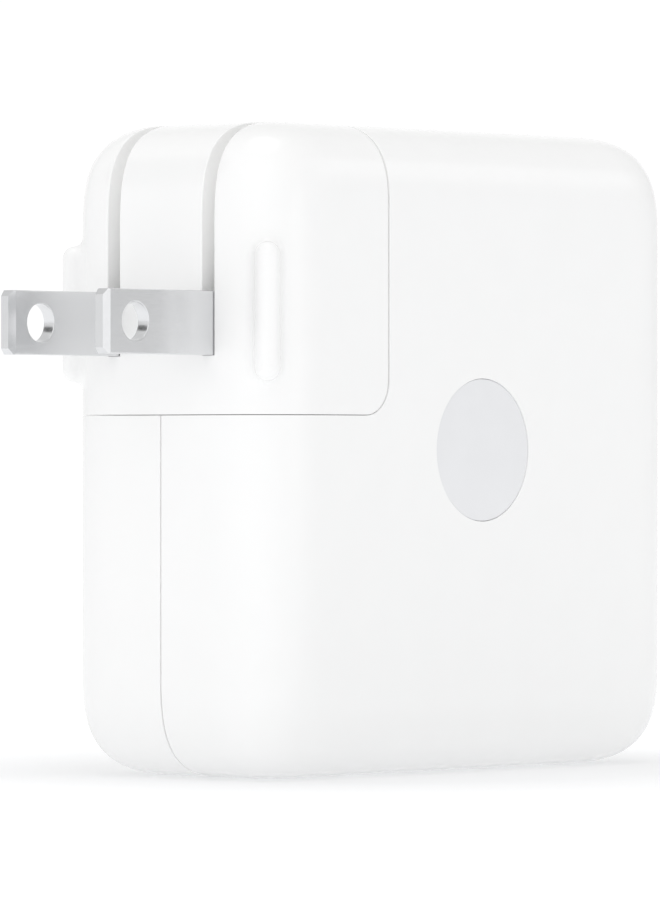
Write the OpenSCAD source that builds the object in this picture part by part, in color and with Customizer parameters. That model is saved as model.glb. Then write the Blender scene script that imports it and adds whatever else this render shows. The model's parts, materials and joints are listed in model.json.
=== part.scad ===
// Wall-plug laptop power adapter: a square brick with a removable corner plug
// module that carries two folding flat blades.
// Frame: origin at the centre of the bottom face, +X towards the outlet port,
// -X towards the wall socket, -Y the large front face, +Z up. Millimetres.

/* [Brick] */
// Width of the brick, from the plug side to the port side
body_w = 65.5; // [65.5:0.5:70]
// Height of the brick
body_h = 65.5; // [65.5:0.5:70]
// Thickness between the two large faces
body_t = 28.8; // [28.8:0.1:30]
// Size of the four corners of a large face
corner_r = 11.2; // [10.5:0.1:12]
// Size of the rounded edge between a large face and the rim
edge_r = 8.1; // [7.6:0.1:8.4]
// Wall thickness of the shells
wall = 2.1; // [2:0.05:2.2]
// Diameter of the round badge on the front face
badge_d = 14.4; // [10:0.2:18]

/* [Plug module] */
// Width of the corner that the plug module fills
plug_w = 18.25; // [18.25:0.05:18.6]
// Height of the corner that the plug module fills
plug_h = 29.3; // [29:0.1:30]
// Radius of the inner corner between module and brick
notch_r = 3.5; // [3:0.1:4]
// Gap of the visible seam round the module
seam = 0.12; // [0.1:0.01:0.15]
// Length of the two grip ribs
rib_len = 13.7; // [12:0.1:16]
// Width of a grip rib
rib_w = 2.5; // [2.2:0.05:2.8]
// How far a grip rib stands out of the rounded edge
rib_out = 2; // [1.2:0.1:2]

/* [Blades] */
// Length of a blade outside the plug face
blade_out = 15.7; // [15:0.1:15.9]
// Width of a blade
blade_w = 6.35; // [6.2:0.05:6.4]
// Thickness of a blade
blade_t = 1.5; // [1.4:0.05:1.55]
// Distance between the middles of the two blades
blade_gap = 12.7; // [12.6:0.1:12.8]
// Radius of the hole in each blade
blade_hole_r = 1.9; // [1.6:0.05:2]
// Height of the blades above the bottom of the plug module
blade_up = 9.1; // [9:0.1:9.3]

/* [Outlet port] */
// Long side of the oval outlet port
port_w = 8.94; // [8.9:0.01:9]
// Short side of the oval outlet port
port_t = 3.26; // [3.2:0.01:3.3]

/* [Hidden] */

// Half sizes of the brick and of the hollow inside it
half_w = body_w / 2;
half_t = body_t / 2;
in_w = half_w - wall;
in_t = half_t - wall;
mid_z = body_h / 2;
// Exponents of the soft corners: 2 is a circle, more is squarer
corner_n = 3.2;
edge_n = 2.5;
// Points along each soft corner, and rows along each soft edge
corner_steps = 9;
edge_rows = 8;
// Smoothness of the round surfaces
$fn = 48;
// Longer than the whole part, for cuts that run right through
far = 120;
// How far a cut runs past the surface that it opens
past = 1;
// Gaps: between pieces that sit against each other, and between pieces that move
fit = 0.05;
slack = 0.3;

// Brick's notch for the plug module, and the module's own faces
notch_x = plug_w - half_w;
notch_z = body_h - plug_h;
plug_x = notch_x - seam;
plug_z = notch_z + seam;
plug_floor = 2;
// Ring inside the back shell that locates the front shell
lip_h = 1.4;
lip_t = 0.8;
lip_root = 0.5;
// Badge, and how deep it sits in its pocket
badge_t = 0.75;
badge_sunk = 0.1;
// Height of the grip ribs' middle, their depth in the shell, and how proud their square sides are
rib_z = notch_z + 10.2;
rib_in = 1.2;
rib_side = 1;

// Blades: the pivot behind the plug face, the hub, the holes and the bevelled tips
pivot_x = 4 - half_w;
blade_z = notch_z + blade_up;
blade_y = blade_gap / 2;
blade_tip_x = -half_w - blade_out;
blade_hole_x = -half_w - 11.3;
hub_r = blade_w / 2;
tip_bevel_x = 0.82;
tip_bevel_y = 0.26;
tip_corner = 0.6;
// Slots that the blades fold into, and the pockets behind them
slot_w = blade_t + 0.2;
slot_back_x = pivot_x + hub_r + slack;
slot_low = 0.12;
pocket_wall = 0.9;
pocket_z = blade_z + hub_r + slack;
// Barrel between the blades, its stub axles and their bearing blocks
barrel_r = 2.1;
barrel_flat = 1.9;
barrel_end = blade_y - blade_t / 2 - fit;
axle_r = 1.3;
axle_end = 8.7;
bearing_r = 1.36;
bracket_y = [blade_y + blade_t / 2 + slack, 9.2];
bracket_r = 2.9;
bracket_x = [pivot_x - 2, pivot_x + 3.8];
// Springs made of flat leaf
leaf_t = 0.4;
detent_half = 3.5;
contact_half = 0.95;
contact_foot = 1.1;

// Mains inlet: a block with an eight-shaped recess, and two pins in it
inlet_x = notch_x - 9.7;
inlet_pin_y = 4.3;
inlet_pin_r = 1.2;
inlet_bottom = notch_z - 10.8;
inlet_recess = notch_z - 9.3;
inlet_tip = notch_z - 1;
inlet_neck = [4.5, 8.3];
inlet_base = [5.1, 9.2];
lobe_r = 3.35;
lobe_bridge = 0.8;
// Lower ends of the two pins, and the flat leads under them
pin_foot = [notch_z - 13, notch_z - 11.8];
lead_half = [0.6, 0.8];
lead_t = 0.6;
// Nose of the plug module that enters the recess, with a sleeve for each pin
nose_r = 3.15;
nose_end = notch_z - 8.7;
nose_lip = 0.9;
sleeve_r = [1.28, 1.9];
socket_mouth_r = 1.5;
socket_top = plug_z + 5.1;
socket_flange = [4.1, 8.6];

// Round stud in the notch wall, and the T-shaped channel that slides over it
stud_z = notch_z + 14.5;
stud_neck_r = 2.7;
stud_head_r = 4.75;
stud_rivet_r = 4.35;
stud_head_x = notch_x - 2;
stud_end_x = stud_head_x - 1.5;
cover_t = 1.6;
cover_x = plug_x - cover_t;
channel_r = stud_head_r + slack + fit;
channel_in_x = stud_end_x - 0.9;
channel_out_x = channel_in_x - 0.9;
channel_wall = 1;
channel_side = channel_r + channel_wall;
stud_leaf = [2, notch_z + 4, stud_z + 3];

// Sheets along the large faces: insulators, heat spreaders and soft pads
insulator_y = [in_t - 1.4, in_t - 1.15];
spreader_y = [in_t - 1.05, in_t - 0.35];
sheet_corner = 5;
spreader_gap = 5.1;
insulator_gap = 4.1;
front_pad = [[-7, 38.5], [9, 52.5]];
back_pad = [[-7, 26], [18, 54]];

// Main board: the face that carries the parts, thickness and clearance to the shell
board_y = 7.6;
board_t = 1.6;
board_gap = 1.6;
board_corner = 4;
foot_y = board_y - fit;
// Input parts, placed in X and Z on the board
fuse_at = [-24.6, 9.4];
fuse_r = 4.1;
fuse_h = 7.8;
thermistor_at = [2.9, 9.4];
thermistor_x = [-20.1, -16.8];
thermistor_r = 4.6;
x_cap = [[-28.2, -5.4, 14.6], [-17.4, foot_y, 21.4]];
choke_at = [-8.4, 12.2];
choke_y = [-1.5, 4.5];
choke_r = [3.4, 6.4];
wire_t = 0.9;
winding_angle = 120;
bridge = [[-16.4, board_y - 3, 22.4], [-6.6, foot_y, 31]];
inductor_at = [-2.1, 26.6];
inductor_r = [3.6, 4.2];
inductor_h = 10;
inductor_flange = 1.4;
bulk_x = [0.6, 27.4];
bulk_at = [0.2, 11.8];
bulk_r = 7.1;
can_groove = 0.4;
// Switch, screwed to a standing heat sink
sink = [[4.4, -9, 20.4], [5.9, foot_y, 32.4]];
switch_x = 5.95;
switch_body = [[switch_x, -1.8, 20.8], [9.6, 6.4, 30.8]];
switch_tab = [[switch_x, -7.4, 20.8], [7.15, -1.8, 30.8]];
screw_at = [-4.2, 25.6];
screw_r = 1.45;
screw_hole_r = 1.55;
screw_head = [2.6, 2.2];
screw_nut = [2.3, 2];
screw_end = 9.6;
// Transformer: two yokes, two side legs and a round middle leg along Z
core_at = [1, -1.5];
core_z = [34.8, 56.4];
core_half = [10.4, 5];
yoke_t = 3.2;
leg_r = 4.2;
leg_t = 2;
bobbin_z = [core_z[0] + yoke_t + fit, core_z[1] - yoke_t - fit];
bobbin_r = [leg_r + fit, leg_r + 0.9, 8.2];
bobbin_flange = 0.9;
winding_r = bobbin_r[2] - 0.3;
// Control and output parts
y_cap_at = [-4, 3.7];
y_cap_z = [58, 60.6];
y_cap_r = 3.8;
opto = [[3, board_y - 3.4, 57.2], [9.6, foot_y, 61.2]];
chip = [[13.2, board_y - 1.5, 46], [18.2, foot_y, 52]];
out_inductor = [[12.4, board_y - 4.6, 54.2], [19.4, foot_y, 61]];
out_cans = [[23.6, 50, 3.9], [24, 58, 3.2]];
out_can_h = 11.6;
can_ring = [1.6, 2.4];
// Outlet port: front end, length and metal thickness
port_x = half_w - 0.45;
port_len = 8.7;
port_skin = 0.25;
port_block_t = 2.4;
// Small board under the port
out_board_x = [12.6, port_x - 3];
out_board_half = 11.1;
out_board_t = 1;
out_chip_x = [14, 19.2];
out_chip_z = [mid_z - 9, mid_z - 3.4];
out_chip_t = 1.1;
// Tongue in the middle of the port, with a row of contacts on each face
tongue_x = [port_x - port_len + port_block_t + 0.25, port_x - 1.2];
tongue_half = [0.35, 3.35];
contact_count = 12;
contact_pitch = 0.5;
contact_w = 0.26;
contact_t = 0.06;

// ---- shared shapes ----

// Quarter of a soft corner, from [1, 0] to [0, 1]
function soft_arc(n, steps) =
    [for (i = [0:steps]) let (a = 90 * i / steps) [pow(cos(a), 2 / n), pow(sin(a), 2 / n)]];

// Outline of the brick in X and Z about its middle, drawn in by inset
function outline(inset) =
    let (
        w = half_w - corner_r,
        h = mid_z - corner_r,
        r = corner_r - inset,
        arc = soft_arc(corner_n, corner_steps)
    )
    concat(
        [for (p = arc) [w + r * p[0], h + r * p[1]]],
        [for (p = arc) [-w - r * p[1], h + r * p[0]]],
        [for (p = arc) [-w - r * p[0], -h - r * p[1]]],
        [for (p = arc) [w + r * p[1], -h - r * p[0]]]
    );

// Rows of the soft edge as [inset, y], for a form drawn in by inset
function edge_profile(inset) =
    let (e = edge_r - inset, t = half_t - inset)
    [for (p = soft_arc(edge_n, edge_rows)) [inset + e * (1 - p[0]), t - e + e * p[1]]];

function half_profile(inset) = concat([[inset, 0]], edge_profile(inset));

function full_profile(inset) =
    let (side = edge_profile(inset))
    concat([for (i = [edge_rows:-1:0]) [side[i][0], -side[i][1]]], side);

// Closed skin that joins the outlines of the given rows
module lofted(rows) {
    count = len(outline(0));
    last = len(rows) - 1;
    points = [for (row = rows) for (p = outline(row[0])) [p[0], row[1], p[1] + mid_z]];
    lower = [for (k = [0:last - 1]) for (i = [0:count - 1])
        [k * count + i, k * count + (i + 1) % count, (k + 1) * count + (i + 1) % count]];
    upper = [for (k = [0:last - 1]) for (i = [0:count - 1])
        [k * count + i, (k + 1) * count + (i + 1) % count, (k + 1) * count + i]];
    ends = [[for (i = [count - 1:-1:0]) i], [for (i = [0:count - 1]) last * count + i]];
    polyhedron(points, concat(lower, upper, ends));
}

// Whole soft-edged form of the adapter, drawn in by inset
module form(inset = 0) {
    lofted(full_profile(inset));
}

// Half of that form, on the +Y side
module half_form(inset = 0) {
    lofted(half_profile(inset));
}

// Box between two opposite corners
module span(low, high) {
    translate(low) cube(high - low);
}

// Box that is symmetric in Y
module span_y(x0, x1, half_y, z0, z1) {
    span([x0, -half_y, z0], [x1, half_y, z1]);
}

// Cylinder along X, from x0 to x1
module rod_x(x0, x1, y, z, r) {
    translate([x0, y, z]) rotate([0, 90, 0]) cylinder(h = x1 - x0, r = r);
}

// Cylinder along Y, from y0 to y1
module rod_y(y0, y1, x, z, r) {
    translate([x, y1, z]) rotate([90, 0, 0]) cylinder(h = y1 - y0, r = r);
}

// Cylinder along Z, from z0 to z1
module rod_z(z0, z1, x, y, r) {
    translate([x, y, z0]) cylinder(h = z1 - z0, r = r);
}

// Corner that the plug module fills: gap > 0 shrinks it, gap < 0 grows it
module corner_block(gap) {
    r = notch_r - gap;
    x = notch_x - gap;
    z = notch_z + gap;
    rod_y(-far / 2, far / 2, x - r, z + r, r);
    span_y(-far, x, far / 2, z + r, far);
    span_y(-far, x - r, far / 2, z, z + r);
}

// Eight-shaped prism of the mains inlet, from z0 to z1
module eight(r, z0, z1) {
    for (side = [-1, 1]) rod_z(z0, z1, inlet_x, side * inlet_pin_y, r);
    span_y(inlet_x - r * lobe_bridge, inlet_x + r * lobe_bridge, inlet_pin_y, z0, z1);
}

// Oval prism of the outlet port, grown by grow, from x0 to x1
module port_oval(grow, x0, x1) {
    r = port_t / 2 + grow;
    reach = (port_w - port_t) / 2;
    for (side = [-1, 1]) rod_x(x0, x1, 0, mid_z + side * reach, r);
    span_y(x0, x1, r, mid_z - reach, mid_z + reach);
}

// Flat sheet along a large face, round-cornered and clear of the notch
module face_sheet(gap, y, r) {
    x = in_w - gap;
    z = [wall + gap, body_h - wall - gap];
    difference() {
        union() {
            for (px = [r - x, x - r]) for (pz = [z[0] + r, z[1] - r]) rod_y(y[0], y[1], px, pz, r);
            span([r - x, y[0], z[0]], [x - r, y[1], z[1]]);
            span([-x, y[0], z[0] + r], [x, y[1], z[1] - r]);
        }
        span_y(-far, notch_x + wall + past, far, notch_z - wall - past, far);
    }
}

// Ring-shaped groove round a rod along Y
module groove_y(y0, y1, x, z, r, depth) {
    difference() {
        rod_y(y0, y1, x, z, r + past);
        rod_y(y0 - past, y1 + past, x, z, r - depth);
    }
}

// Electrolytic can that stands on the main board
module standing_can(x, z, r, h) {
    difference() {
        rod_y(board_y - h, foot_y, x, z, r);
        groove_y(board_y - can_ring[1], board_y - can_ring[0], x, z, r, can_groove);
    }
}

// ---- brick casing ----

// Everything that both halves of the casing leave open
module casing_openings() {
    corner_block(0);
    span_y(inlet_x - inlet_neck[0] - fit, inlet_x + inlet_neck[0] + fit, inlet_neck[1] + fit,
           notch_z - wall - past, notch_z + past);
    rod_x(notch_x - past, notch_x + wall + past, 0, stud_z, stud_neck_r + fit);
    port_oval(fit, in_w - past, half_w + past);
}

// Casing half on the +Y side
module casing_half() {
    difference() {
        half_form();
        difference() {
            half_form(wall);
            corner_block(-wall);
        }
        casing_openings();
    }
}

// Slab with the inner outline of the casing, clear of the notch walls
module inner_slab(inset, y0, y1) {
    difference() {
        translate([0, y1, mid_z]) rotate([90, 0, 0]) linear_extrude(y1 - y0) polygon(outline(inset));
        corner_block(-inset);
    }
}

// Locating lip: stands in the front half, rooted in the wall of the back half
module lip() {
    difference() {
        union() {
            inner_slab(wall + fit, -lip_h, lip_h);
            inner_slab(wall - lip_root, fit, lip_h);
        }
        inner_slab(wall + lip_t, -far, far);
        casing_openings();
        span_y(in_w - 2 * lip_t, half_w, half_t, mid_z - port_w, mid_z + port_w);
        span_y(inlet_x - 2 * inlet_neck[0], inlet_x + 2 * inlet_neck[0], half_t, inlet_bottom, notch_z);
        rod_x(notch_x + lip_t, notch_x + wall + 2 * lip_t, 0, stud_z, stud_head_r + past);
    }
}

module front_shell() {
    color("white") difference() {
        mirror([0, 1, 0]) casing_half();
        rod_y(-half_t - past, badge_t + badge_sunk - half_t, 0, mid_z, badge_d / 2 + fit);
    }
}

module back_shell() {
    color("white") {
        casing_half();
        lip();
    }
}

module badge_inlay() {
    color("gainsboro") rod_y(badge_sunk - half_t, badge_sunk + badge_t - half_t, 0, mid_z, badge_d / 2);
}

// ---- mains inlet and stud ----

module inlet_housing() {
    color("whitesmoke") difference() {
        union() {
            span_y(inlet_x - inlet_base[0], inlet_x + inlet_base[0], inlet_base[1],
                   inlet_bottom, notch_z - wall - fit);
            span_y(inlet_x - inlet_neck[0], inlet_x + inlet_neck[0], inlet_neck[1],
                   notch_z - 2 * wall, notch_z);
        }
        eight(lobe_r, inlet_recess, notch_z + past);
        for (side = [-1, 1]) {
            rod_z(inlet_bottom - past, notch_z, inlet_x, side * inlet_pin_y, inlet_pin_r + fit);
        }
    }
}

// Round pin with a domed tip
module inlet_pin(y, z0) {
    color("silver") {
        rod_z(z0, inlet_tip - inlet_pin_r, inlet_x, y, inlet_pin_r);
        translate([inlet_x, y, inlet_tip - inlet_pin_r]) sphere(inlet_pin_r);
    }
}

module inlet_pin_line() {
    inlet_pin(-inlet_pin_y, pin_foot[0]);
}

module inlet_pin_neutral() {
    inlet_pin(inlet_pin_y, pin_foot[1]);
}

// Flat leads from the pins to the main board, one above the other
module inlet_leads() {
    color("orange") for (i = [0, 1]) {
        y = (2 * i - 1) * inlet_pin_y;
        span([inlet_x - lead_half[0], y - lead_half[1], pin_foot[i] - lead_t],
             [inlet_x + lead_half[0], board_y, pin_foot[i]]);
    }
}

module retaining_stud() {
    inner_x = notch_x + wall;
    color("silver") {
        rod_x(stud_end_x, stud_head_x, 0, stud_z, stud_head_r);
        rod_x(stud_head_x - fit, inner_x + past, 0, stud_z, stud_neck_r);
        rod_x(inner_x + fit, inner_x + past, 0, stud_z, stud_rivet_r);
    }
}

// ---- heat spreaders, insulation and pads ----

module front_heat_spreader() {
    color("lightgray") face_sheet(spreader_gap, [-spreader_y[1], -spreader_y[0]], sheet_corner);
}

module back_heat_spreader() {
    color("lightgray") face_sheet(spreader_gap, spreader_y, sheet_corner);
}

module front_insulator() {
    color("ivory") face_sheet(insulator_gap, [-insulator_y[1], -insulator_y[0]], sheet_corner);
}

module back_insulator() {
    color("ivory") face_sheet(insulator_gap, insulator_y, sheet_corner);
}

module thermal_pad_front() {
    top = core_at[1] - bobbin_r[2] - fit;
    color("lightblue") span([front_pad[0][0], fit - insulator_y[0], front_pad[0][1]],
                            [front_pad[1][0], top, front_pad[1][1]]);
}

module thermal_pad_back() {
    color("lightblue") span([back_pad[0][0], board_y + board_t + fit, back_pad[0][1]],
                            [back_pad[1][0], insulator_y[0] - fit, back_pad[1][1]]);
}

// ---- main board, input side ----

module main_board() {
    color("darkgreen") difference() {
        face_sheet(board_gap, [board_y, board_y + board_t], board_corner);
        span_y(-far, inlet_x + inlet_base[0] + slack, far, inlet_bottom - slack, far);
    }
}

module fuse() {
    color("dimgray") rod_y(board_y - fuse_h, foot_y, fuse_at[0], fuse_at[1], fuse_r);
}

module thermistor() {
    color("darkslategray")
        rod_x(thermistor_x[0], thermistor_x[1], thermistor_at[0], thermistor_at[1], thermistor_r);
}

module x_capacitor() {
    color("gold") span(x_cap[0], x_cap[1]);
}

// Ring core of the common-mode choke
module input_choke_core() {
    color("dimgray") difference() {
        rod_y(choke_y[0], choke_y[1], choke_at[0], choke_at[1], choke_r[1]);
        rod_y(choke_y[0] - past, choke_y[1] + past, choke_at[0], choke_at[1], choke_r[0]);
    }
}

// Two windings, each wrapped round part of the ring core
module input_choke_windings() {
    core = [choke_r[1] - choke_r[0], choke_y[1] - choke_y[0]];
    wound = core + 2 * [wire_t, wire_t];
    hole = core + 2 * [fit, fit];
    color("peru") for (turn = [0, 180]) {
        translate([choke_at[0], choke_y[1] + wire_t, choke_at[1]])
            rotate([90, turn - winding_angle / 2, 0])
                rotate_extrude(angle = winding_angle) difference() {
                    translate([choke_r[0] - wire_t, 0]) square(wound);
                    translate([choke_r[0] - fit, wire_t - fit]) square(hole);
                }
    }
}

module bridge_rectifier() {
    color("black") span(bridge[0], bridge[1]);
}

// Drum core on the board, with its wire between two flanges
module input_inductor() {
    top = board_y - inductor_h;
    color("dimgray") {
        rod_y(top, foot_y, inductor_at[0], inductor_at[1], inductor_r[0]);
        rod_y(top, top + inductor_flange, inductor_at[0], inductor_at[1], inductor_r[1]);
        rod_y(board_y - inductor_flange, foot_y, inductor_at[0], inductor_at[1], inductor_r[1]);
    }
}

// Large can that lies along X, with a groove near one end
module bulk_capacitor() {
    groove = bulk_x[0] + can_ring[1];
    color("navy") difference() {
        rod_x(bulk_x[0], bulk_x[1], bulk_at[0], bulk_at[1], bulk_r);
        difference() {
            rod_x(groove, groove + past, bulk_at[0], bulk_at[1], bulk_r + past);
            rod_x(groove - past, groove + 2 * past, bulk_at[0], bulk_at[1], bulk_r - can_groove);
        }
    }
}

module primary_heatsink() {
    color("silver") difference() {
        span(sink[0], sink[1]);
        rod_x(sink[0][0] - past, sink[1][0] + past, screw_at[0], screw_at[1], screw_hole_r);
    }
}

module primary_switch() {
    color("black") difference() {
        union() {
            span(switch_body[0], switch_body[1]);
            span(switch_tab[0], switch_tab[1]);
        }
        rod_x(switch_x - past, switch_tab[1][0] + past, screw_at[0], screw_at[1], screw_hole_r);
    }
}

// Screw and nut that clamp the switch to the heat sink
module heatsink_screw() {
    head_x = sink[0][0] - fit;
    nut_x = switch_tab[1][0] + fit;
    color("silver") {
        rod_x(head_x - screw_head[1], head_x, screw_at[0], screw_at[1], screw_head[0]);
        rod_x(head_x - fit, screw_end, screw_at[0], screw_at[1], screw_r);
        rod_x(nut_x, nut_x + screw_nut[1], screw_at[0], screw_at[1], screw_nut[0]);
    }
}

// ---- transformer ----

module transformer_core() {
    x = [core_at[0] - core_half[0], core_at[0] + core_half[0]];
    y = [core_at[1] - core_half[1], core_at[1] + core_half[1]];
    color("dimgray") {
        for (z = [core_z[0], core_z[1] - yoke_t]) span([x[0], y[0], z], [x[1], y[1], z + yoke_t]);
        for (leg = [x[0], x[1] - leg_t]) span([leg, y[0], core_z[0]], [leg + leg_t, y[1], core_z[1]]);
        rod_z(core_z[0], core_z[1], core_at[0], core_at[1], leg_r);
    }
}

// Spool between the yokes
module transformer_bobbin() {
    color("black") difference() {
        union() {
            rod_z(bobbin_z[0], bobbin_z[1], core_at[0], core_at[1], bobbin_r[1]);
            for (z = [bobbin_z[0], bobbin_z[1] - bobbin_flange]) {
                rod_z(z, z + bobbin_flange, core_at[0], core_at[1], bobbin_r[2]);
            }
        }
        rod_z(bobbin_z[0] - past, bobbin_z[1] + past, core_at[0], core_at[1], bobbin_r[0]);
    }
}

module transformer_winding() {
    z = [bobbin_z[0] + bobbin_flange + fit, bobbin_z[1] - bobbin_flange - fit];
    color("khaki") difference() {
        rod_z(z[0], z[1], core_at[0], core_at[1], winding_r);
        rod_z(z[0] - past, z[1] + past, core_at[0], core_at[1], bobbin_r[1] + fit);
    }
}

// ---- control and output side ----

module y_capacitor() {
    color("deepskyblue") rod_z(y_cap_z[0], y_cap_z[1], y_cap_at[0], y_cap_at[1], y_cap_r);
}

module optocoupler() {
    color("white") span(opto[0], opto[1]);
}

module controller_chip() {
    color("black") span(chip[0], chip[1]);
}

module output_board() {
    y = port_t / 2;
    color("darkgreen") span([out_board_x[0], y, mid_z - out_board_half],
                            [out_board_x[1], y + out_board_t, mid_z + out_board_half]);
}

module output_rectifier() {
    y = port_t / 2;
    color("black") span([out_chip_x[0], y - out_chip_t, out_chip_z[0]],
                        [out_chip_x[1], y - fit, out_chip_z[1]]);
}

module output_inductor() {
    color("dimgray") span(out_inductor[0], out_inductor[1]);
}

module output_capacitors() {
    color("silver") for (can = out_cans) standing_can(can[0], can[1], can[2], out_can_h);
}

// ---- outlet port ----

// Pressed metal shell of the port
module usb_c_shell() {
    color("silver") difference() {
        port_oval(0, port_x - port_len, port_x);
        port_oval(-port_skin, port_x - port_len - past, port_x + past);
    }
}

// Insulating block that closes the back of the port
module usb_c_frame() {
    x = port_x - port_len + 0.2;
    color("black") port_oval(-port_skin - fit, x, x + port_block_t);
}

module usb_c_tongue() {
    color("black")
        span_y(tongue_x[0], tongue_x[1], tongue_half[0], mid_z - tongue_half[1], mid_z + tongue_half[1]);
}

// Two rows of gilt contacts, one on each face of the tongue
module usb_c_contacts() {
    x = [tongue_x[0] + 0.6, tongue_x[1] - 0.5];
    color("gold") for (y = [-tongue_half[0] - contact_t, tongue_half[0]]) {
        for (i = [0:contact_count - 1]) {
            z = mid_z + (i - (contact_count - 1) / 2) * contact_pitch - contact_w / 2;
            span([x[0], y, z], [x[1], y + contact_t, z + contact_w]);
        }
    }
}

// ---- plug module ----

// Upright bar with round ends and a rounded crest, on a rounded edge of the plug face
module grip_rib(side) {
    // Middle of the soft edge's bend
    inset = edge_r * (1 - pow(0.5, 1 / edge_n));
    straight = (rib_len - rib_w) / 2;
    // Radius of the crest, from its top and its square sides
    rise = rib_out - rib_side;
    crest_r = (pow(rib_w / 2, 2) + rise * rise) / (2 * rise);
    crest_x = crest_r - rib_out;
    translate([inset - half_w, side * (half_t - inset), rib_z]) rotate([0, 0, side * -45])
        intersection() {
            union() {
                for (end = [-1, 1]) rod_x(-rib_out, rib_in, 0, end * straight, rib_w / 2);
                span_y(-rib_out, rib_in, rib_w / 2, -straight, straight);
            }
            union() {
                rod_z(-straight, straight, crest_x, 0, crest_r);
                for (end = [-1, 1]) translate([crest_x, 0, end * straight]) sphere(crest_r);
                span_y(crest_x, rib_in, rib_w / 2, -rib_len / 2, rib_len / 2);
            }
        }
}

// Slots in the plug face for the folded blades
module blade_slots() {
    for (side = [-1, 1]) {
        y = side * blade_y;
        span([-far, y - slot_w / 2, blade_z - hub_r - slot_low], [slot_back_x, y + slot_w / 2, far]);
    }
}

// Walls that close each slot from the hollow of the module
module slot_pockets() {
    half = slot_w / 2 + pocket_wall;
    for (side = [-1, 1]) {
        y = side * blade_y;
        span([-far, y - half, pocket_z], [slot_back_x + pocket_wall, y + half, far]);
    }
}

module plug_shell() {
    floor_z = plug_z + plug_floor;
    color("white") difference() {
        union() {
            intersection() {
                form();
                corner_block(seam);
            }
            for (side = [-1, 1]) grip_rib(side);
        }
        difference() {
            form(wall);
            span_y(-far, far, far, -far, floor_z);
            slot_pockets();
        }
        blade_slots();
        rod_y(-barrel_end - slack, barrel_end + slack, pivot_x, blade_z, barrel_r + slack);
        eight(nose_r + fit, 0, floor_z + past);
        span_y(channel_out_x - fit, far, channel_side + fit, 0, floor_z + past);
    }
}

// Cover in the module's mouth, with the T-shaped channel for the stud
module plug_inner_cover() {
    neck_slot = stud_neck_r + slack;
    color("white") difference() {
        intersection() {
            union() {
                intersection() {
                    form(wall + fit);
                    span_y(cover_x, far, far, plug_z + plug_floor + fit, far);
                }
                span_y(channel_out_x, plug_x, channel_side, plug_z, stud_z + channel_side);
            }
            corner_block(seam);
        }
        rod_x(channel_in_x, cover_x, 0, stud_z, channel_r);
        span_y(channel_in_x, cover_x, channel_r, 0, stud_z);
        rod_x(cover_x - past, plug_x + past, 0, stud_z, neck_slot);
        span_y(cover_x - past, plug_x + past, neck_slot, 0, stud_z);
    }
}

// Leaf behind the stud's head
module stud_spring() {
    x = channel_in_x + fit;
    color("silver") span_y(x, x + leaf_t, stud_leaf[0], stud_leaf[1], stud_leaf[2]);
}

// Nose with a hole for each pin, and a flange that holds it in the module
module socket_block() {
    floor_z = plug_z + plug_floor;
    color("whitesmoke") difference() {
        union() {
            eight(nose_r, nose_end, floor_z + past);
            span_y(inlet_x - socket_flange[0], inlet_x + socket_flange[0], socket_flange[1],
                   floor_z + fit, socket_top - fit);
        }
        for (side = [-1, 1]) {
            y = side * inlet_pin_y;
            rod_z(nose_end - past, nose_end + past, inlet_x, y, socket_mouth_r);
            rod_z(nose_end + nose_lip - fit, socket_top + past, inlet_x, y, sleeve_r[1] + fit);
        }
    }
}

// Sleeve that grips an inlet pin
module socket_contact(y) {
    color("gold") difference() {
        rod_z(nose_end + nose_lip, socket_top, inlet_x, y, sleeve_r[1]);
        rod_z(nose_end, socket_top - past, inlet_x, y, sleeve_r[0]);
    }
}

module socket_contact_line() {
    socket_contact(-inlet_pin_y);
}

module socket_contact_neutral() {
    socket_contact(inlet_pin_y);
}

// Leaf that stands behind a blade's hub, with a foot on top of the sleeve
module contact_spring() {
    x = slot_back_x + fit;
    foot = [[x, inlet_pin_y - contact_foot, socket_top],
            [inlet_x + sleeve_r[1], blade_y + contact_half, socket_top + leaf_t]];
    leaf = [[x, blade_y - contact_half, socket_top],
            [x + leaf_t, blade_y + contact_half, pocket_z - slack]];
    color("gold") {
        span(foot[0], foot[1]);
        span(leaf[0], leaf[1]);
    }
}

module contact_spring_line() {
    mirror([0, 1, 0]) contact_spring();
}

module contact_spring_neutral() {
    contact_spring();
}

// ---- blades and their hinge ----

// Bearing block for the stub axle on the +Y side, shaped to the shell's inner face
module hinge_bracket() {
    color("whitesmoke") difference() {
        intersection() {
            form(wall + fit);
            union() {
                rod_y(bracket_y[0], bracket_y[1], pivot_x + bracket_r - 2, blade_z, bracket_r);
                span([bracket_x[0], bracket_y[0], socket_top + fit], [bracket_x[1], bracket_y[1], blade_z]);
            }
        }
        rod_y(bracket_y[0] - past, bracket_y[1] + past, pivot_x, blade_z, bearing_r);
    }
}

module hinge_bracket_front() {
    mirror([0, 1, 0]) hinge_bracket();
}

module hinge_bracket_back() {
    hinge_bracket();
}

// Leaf that clicks on the flats of the barrel
module blade_detent_spring() {
    x = pivot_x + barrel_r + slack;
    color("silver") span_y(x, x + leaf_t, detent_half, socket_top + fit, pocket_z);
}

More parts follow.
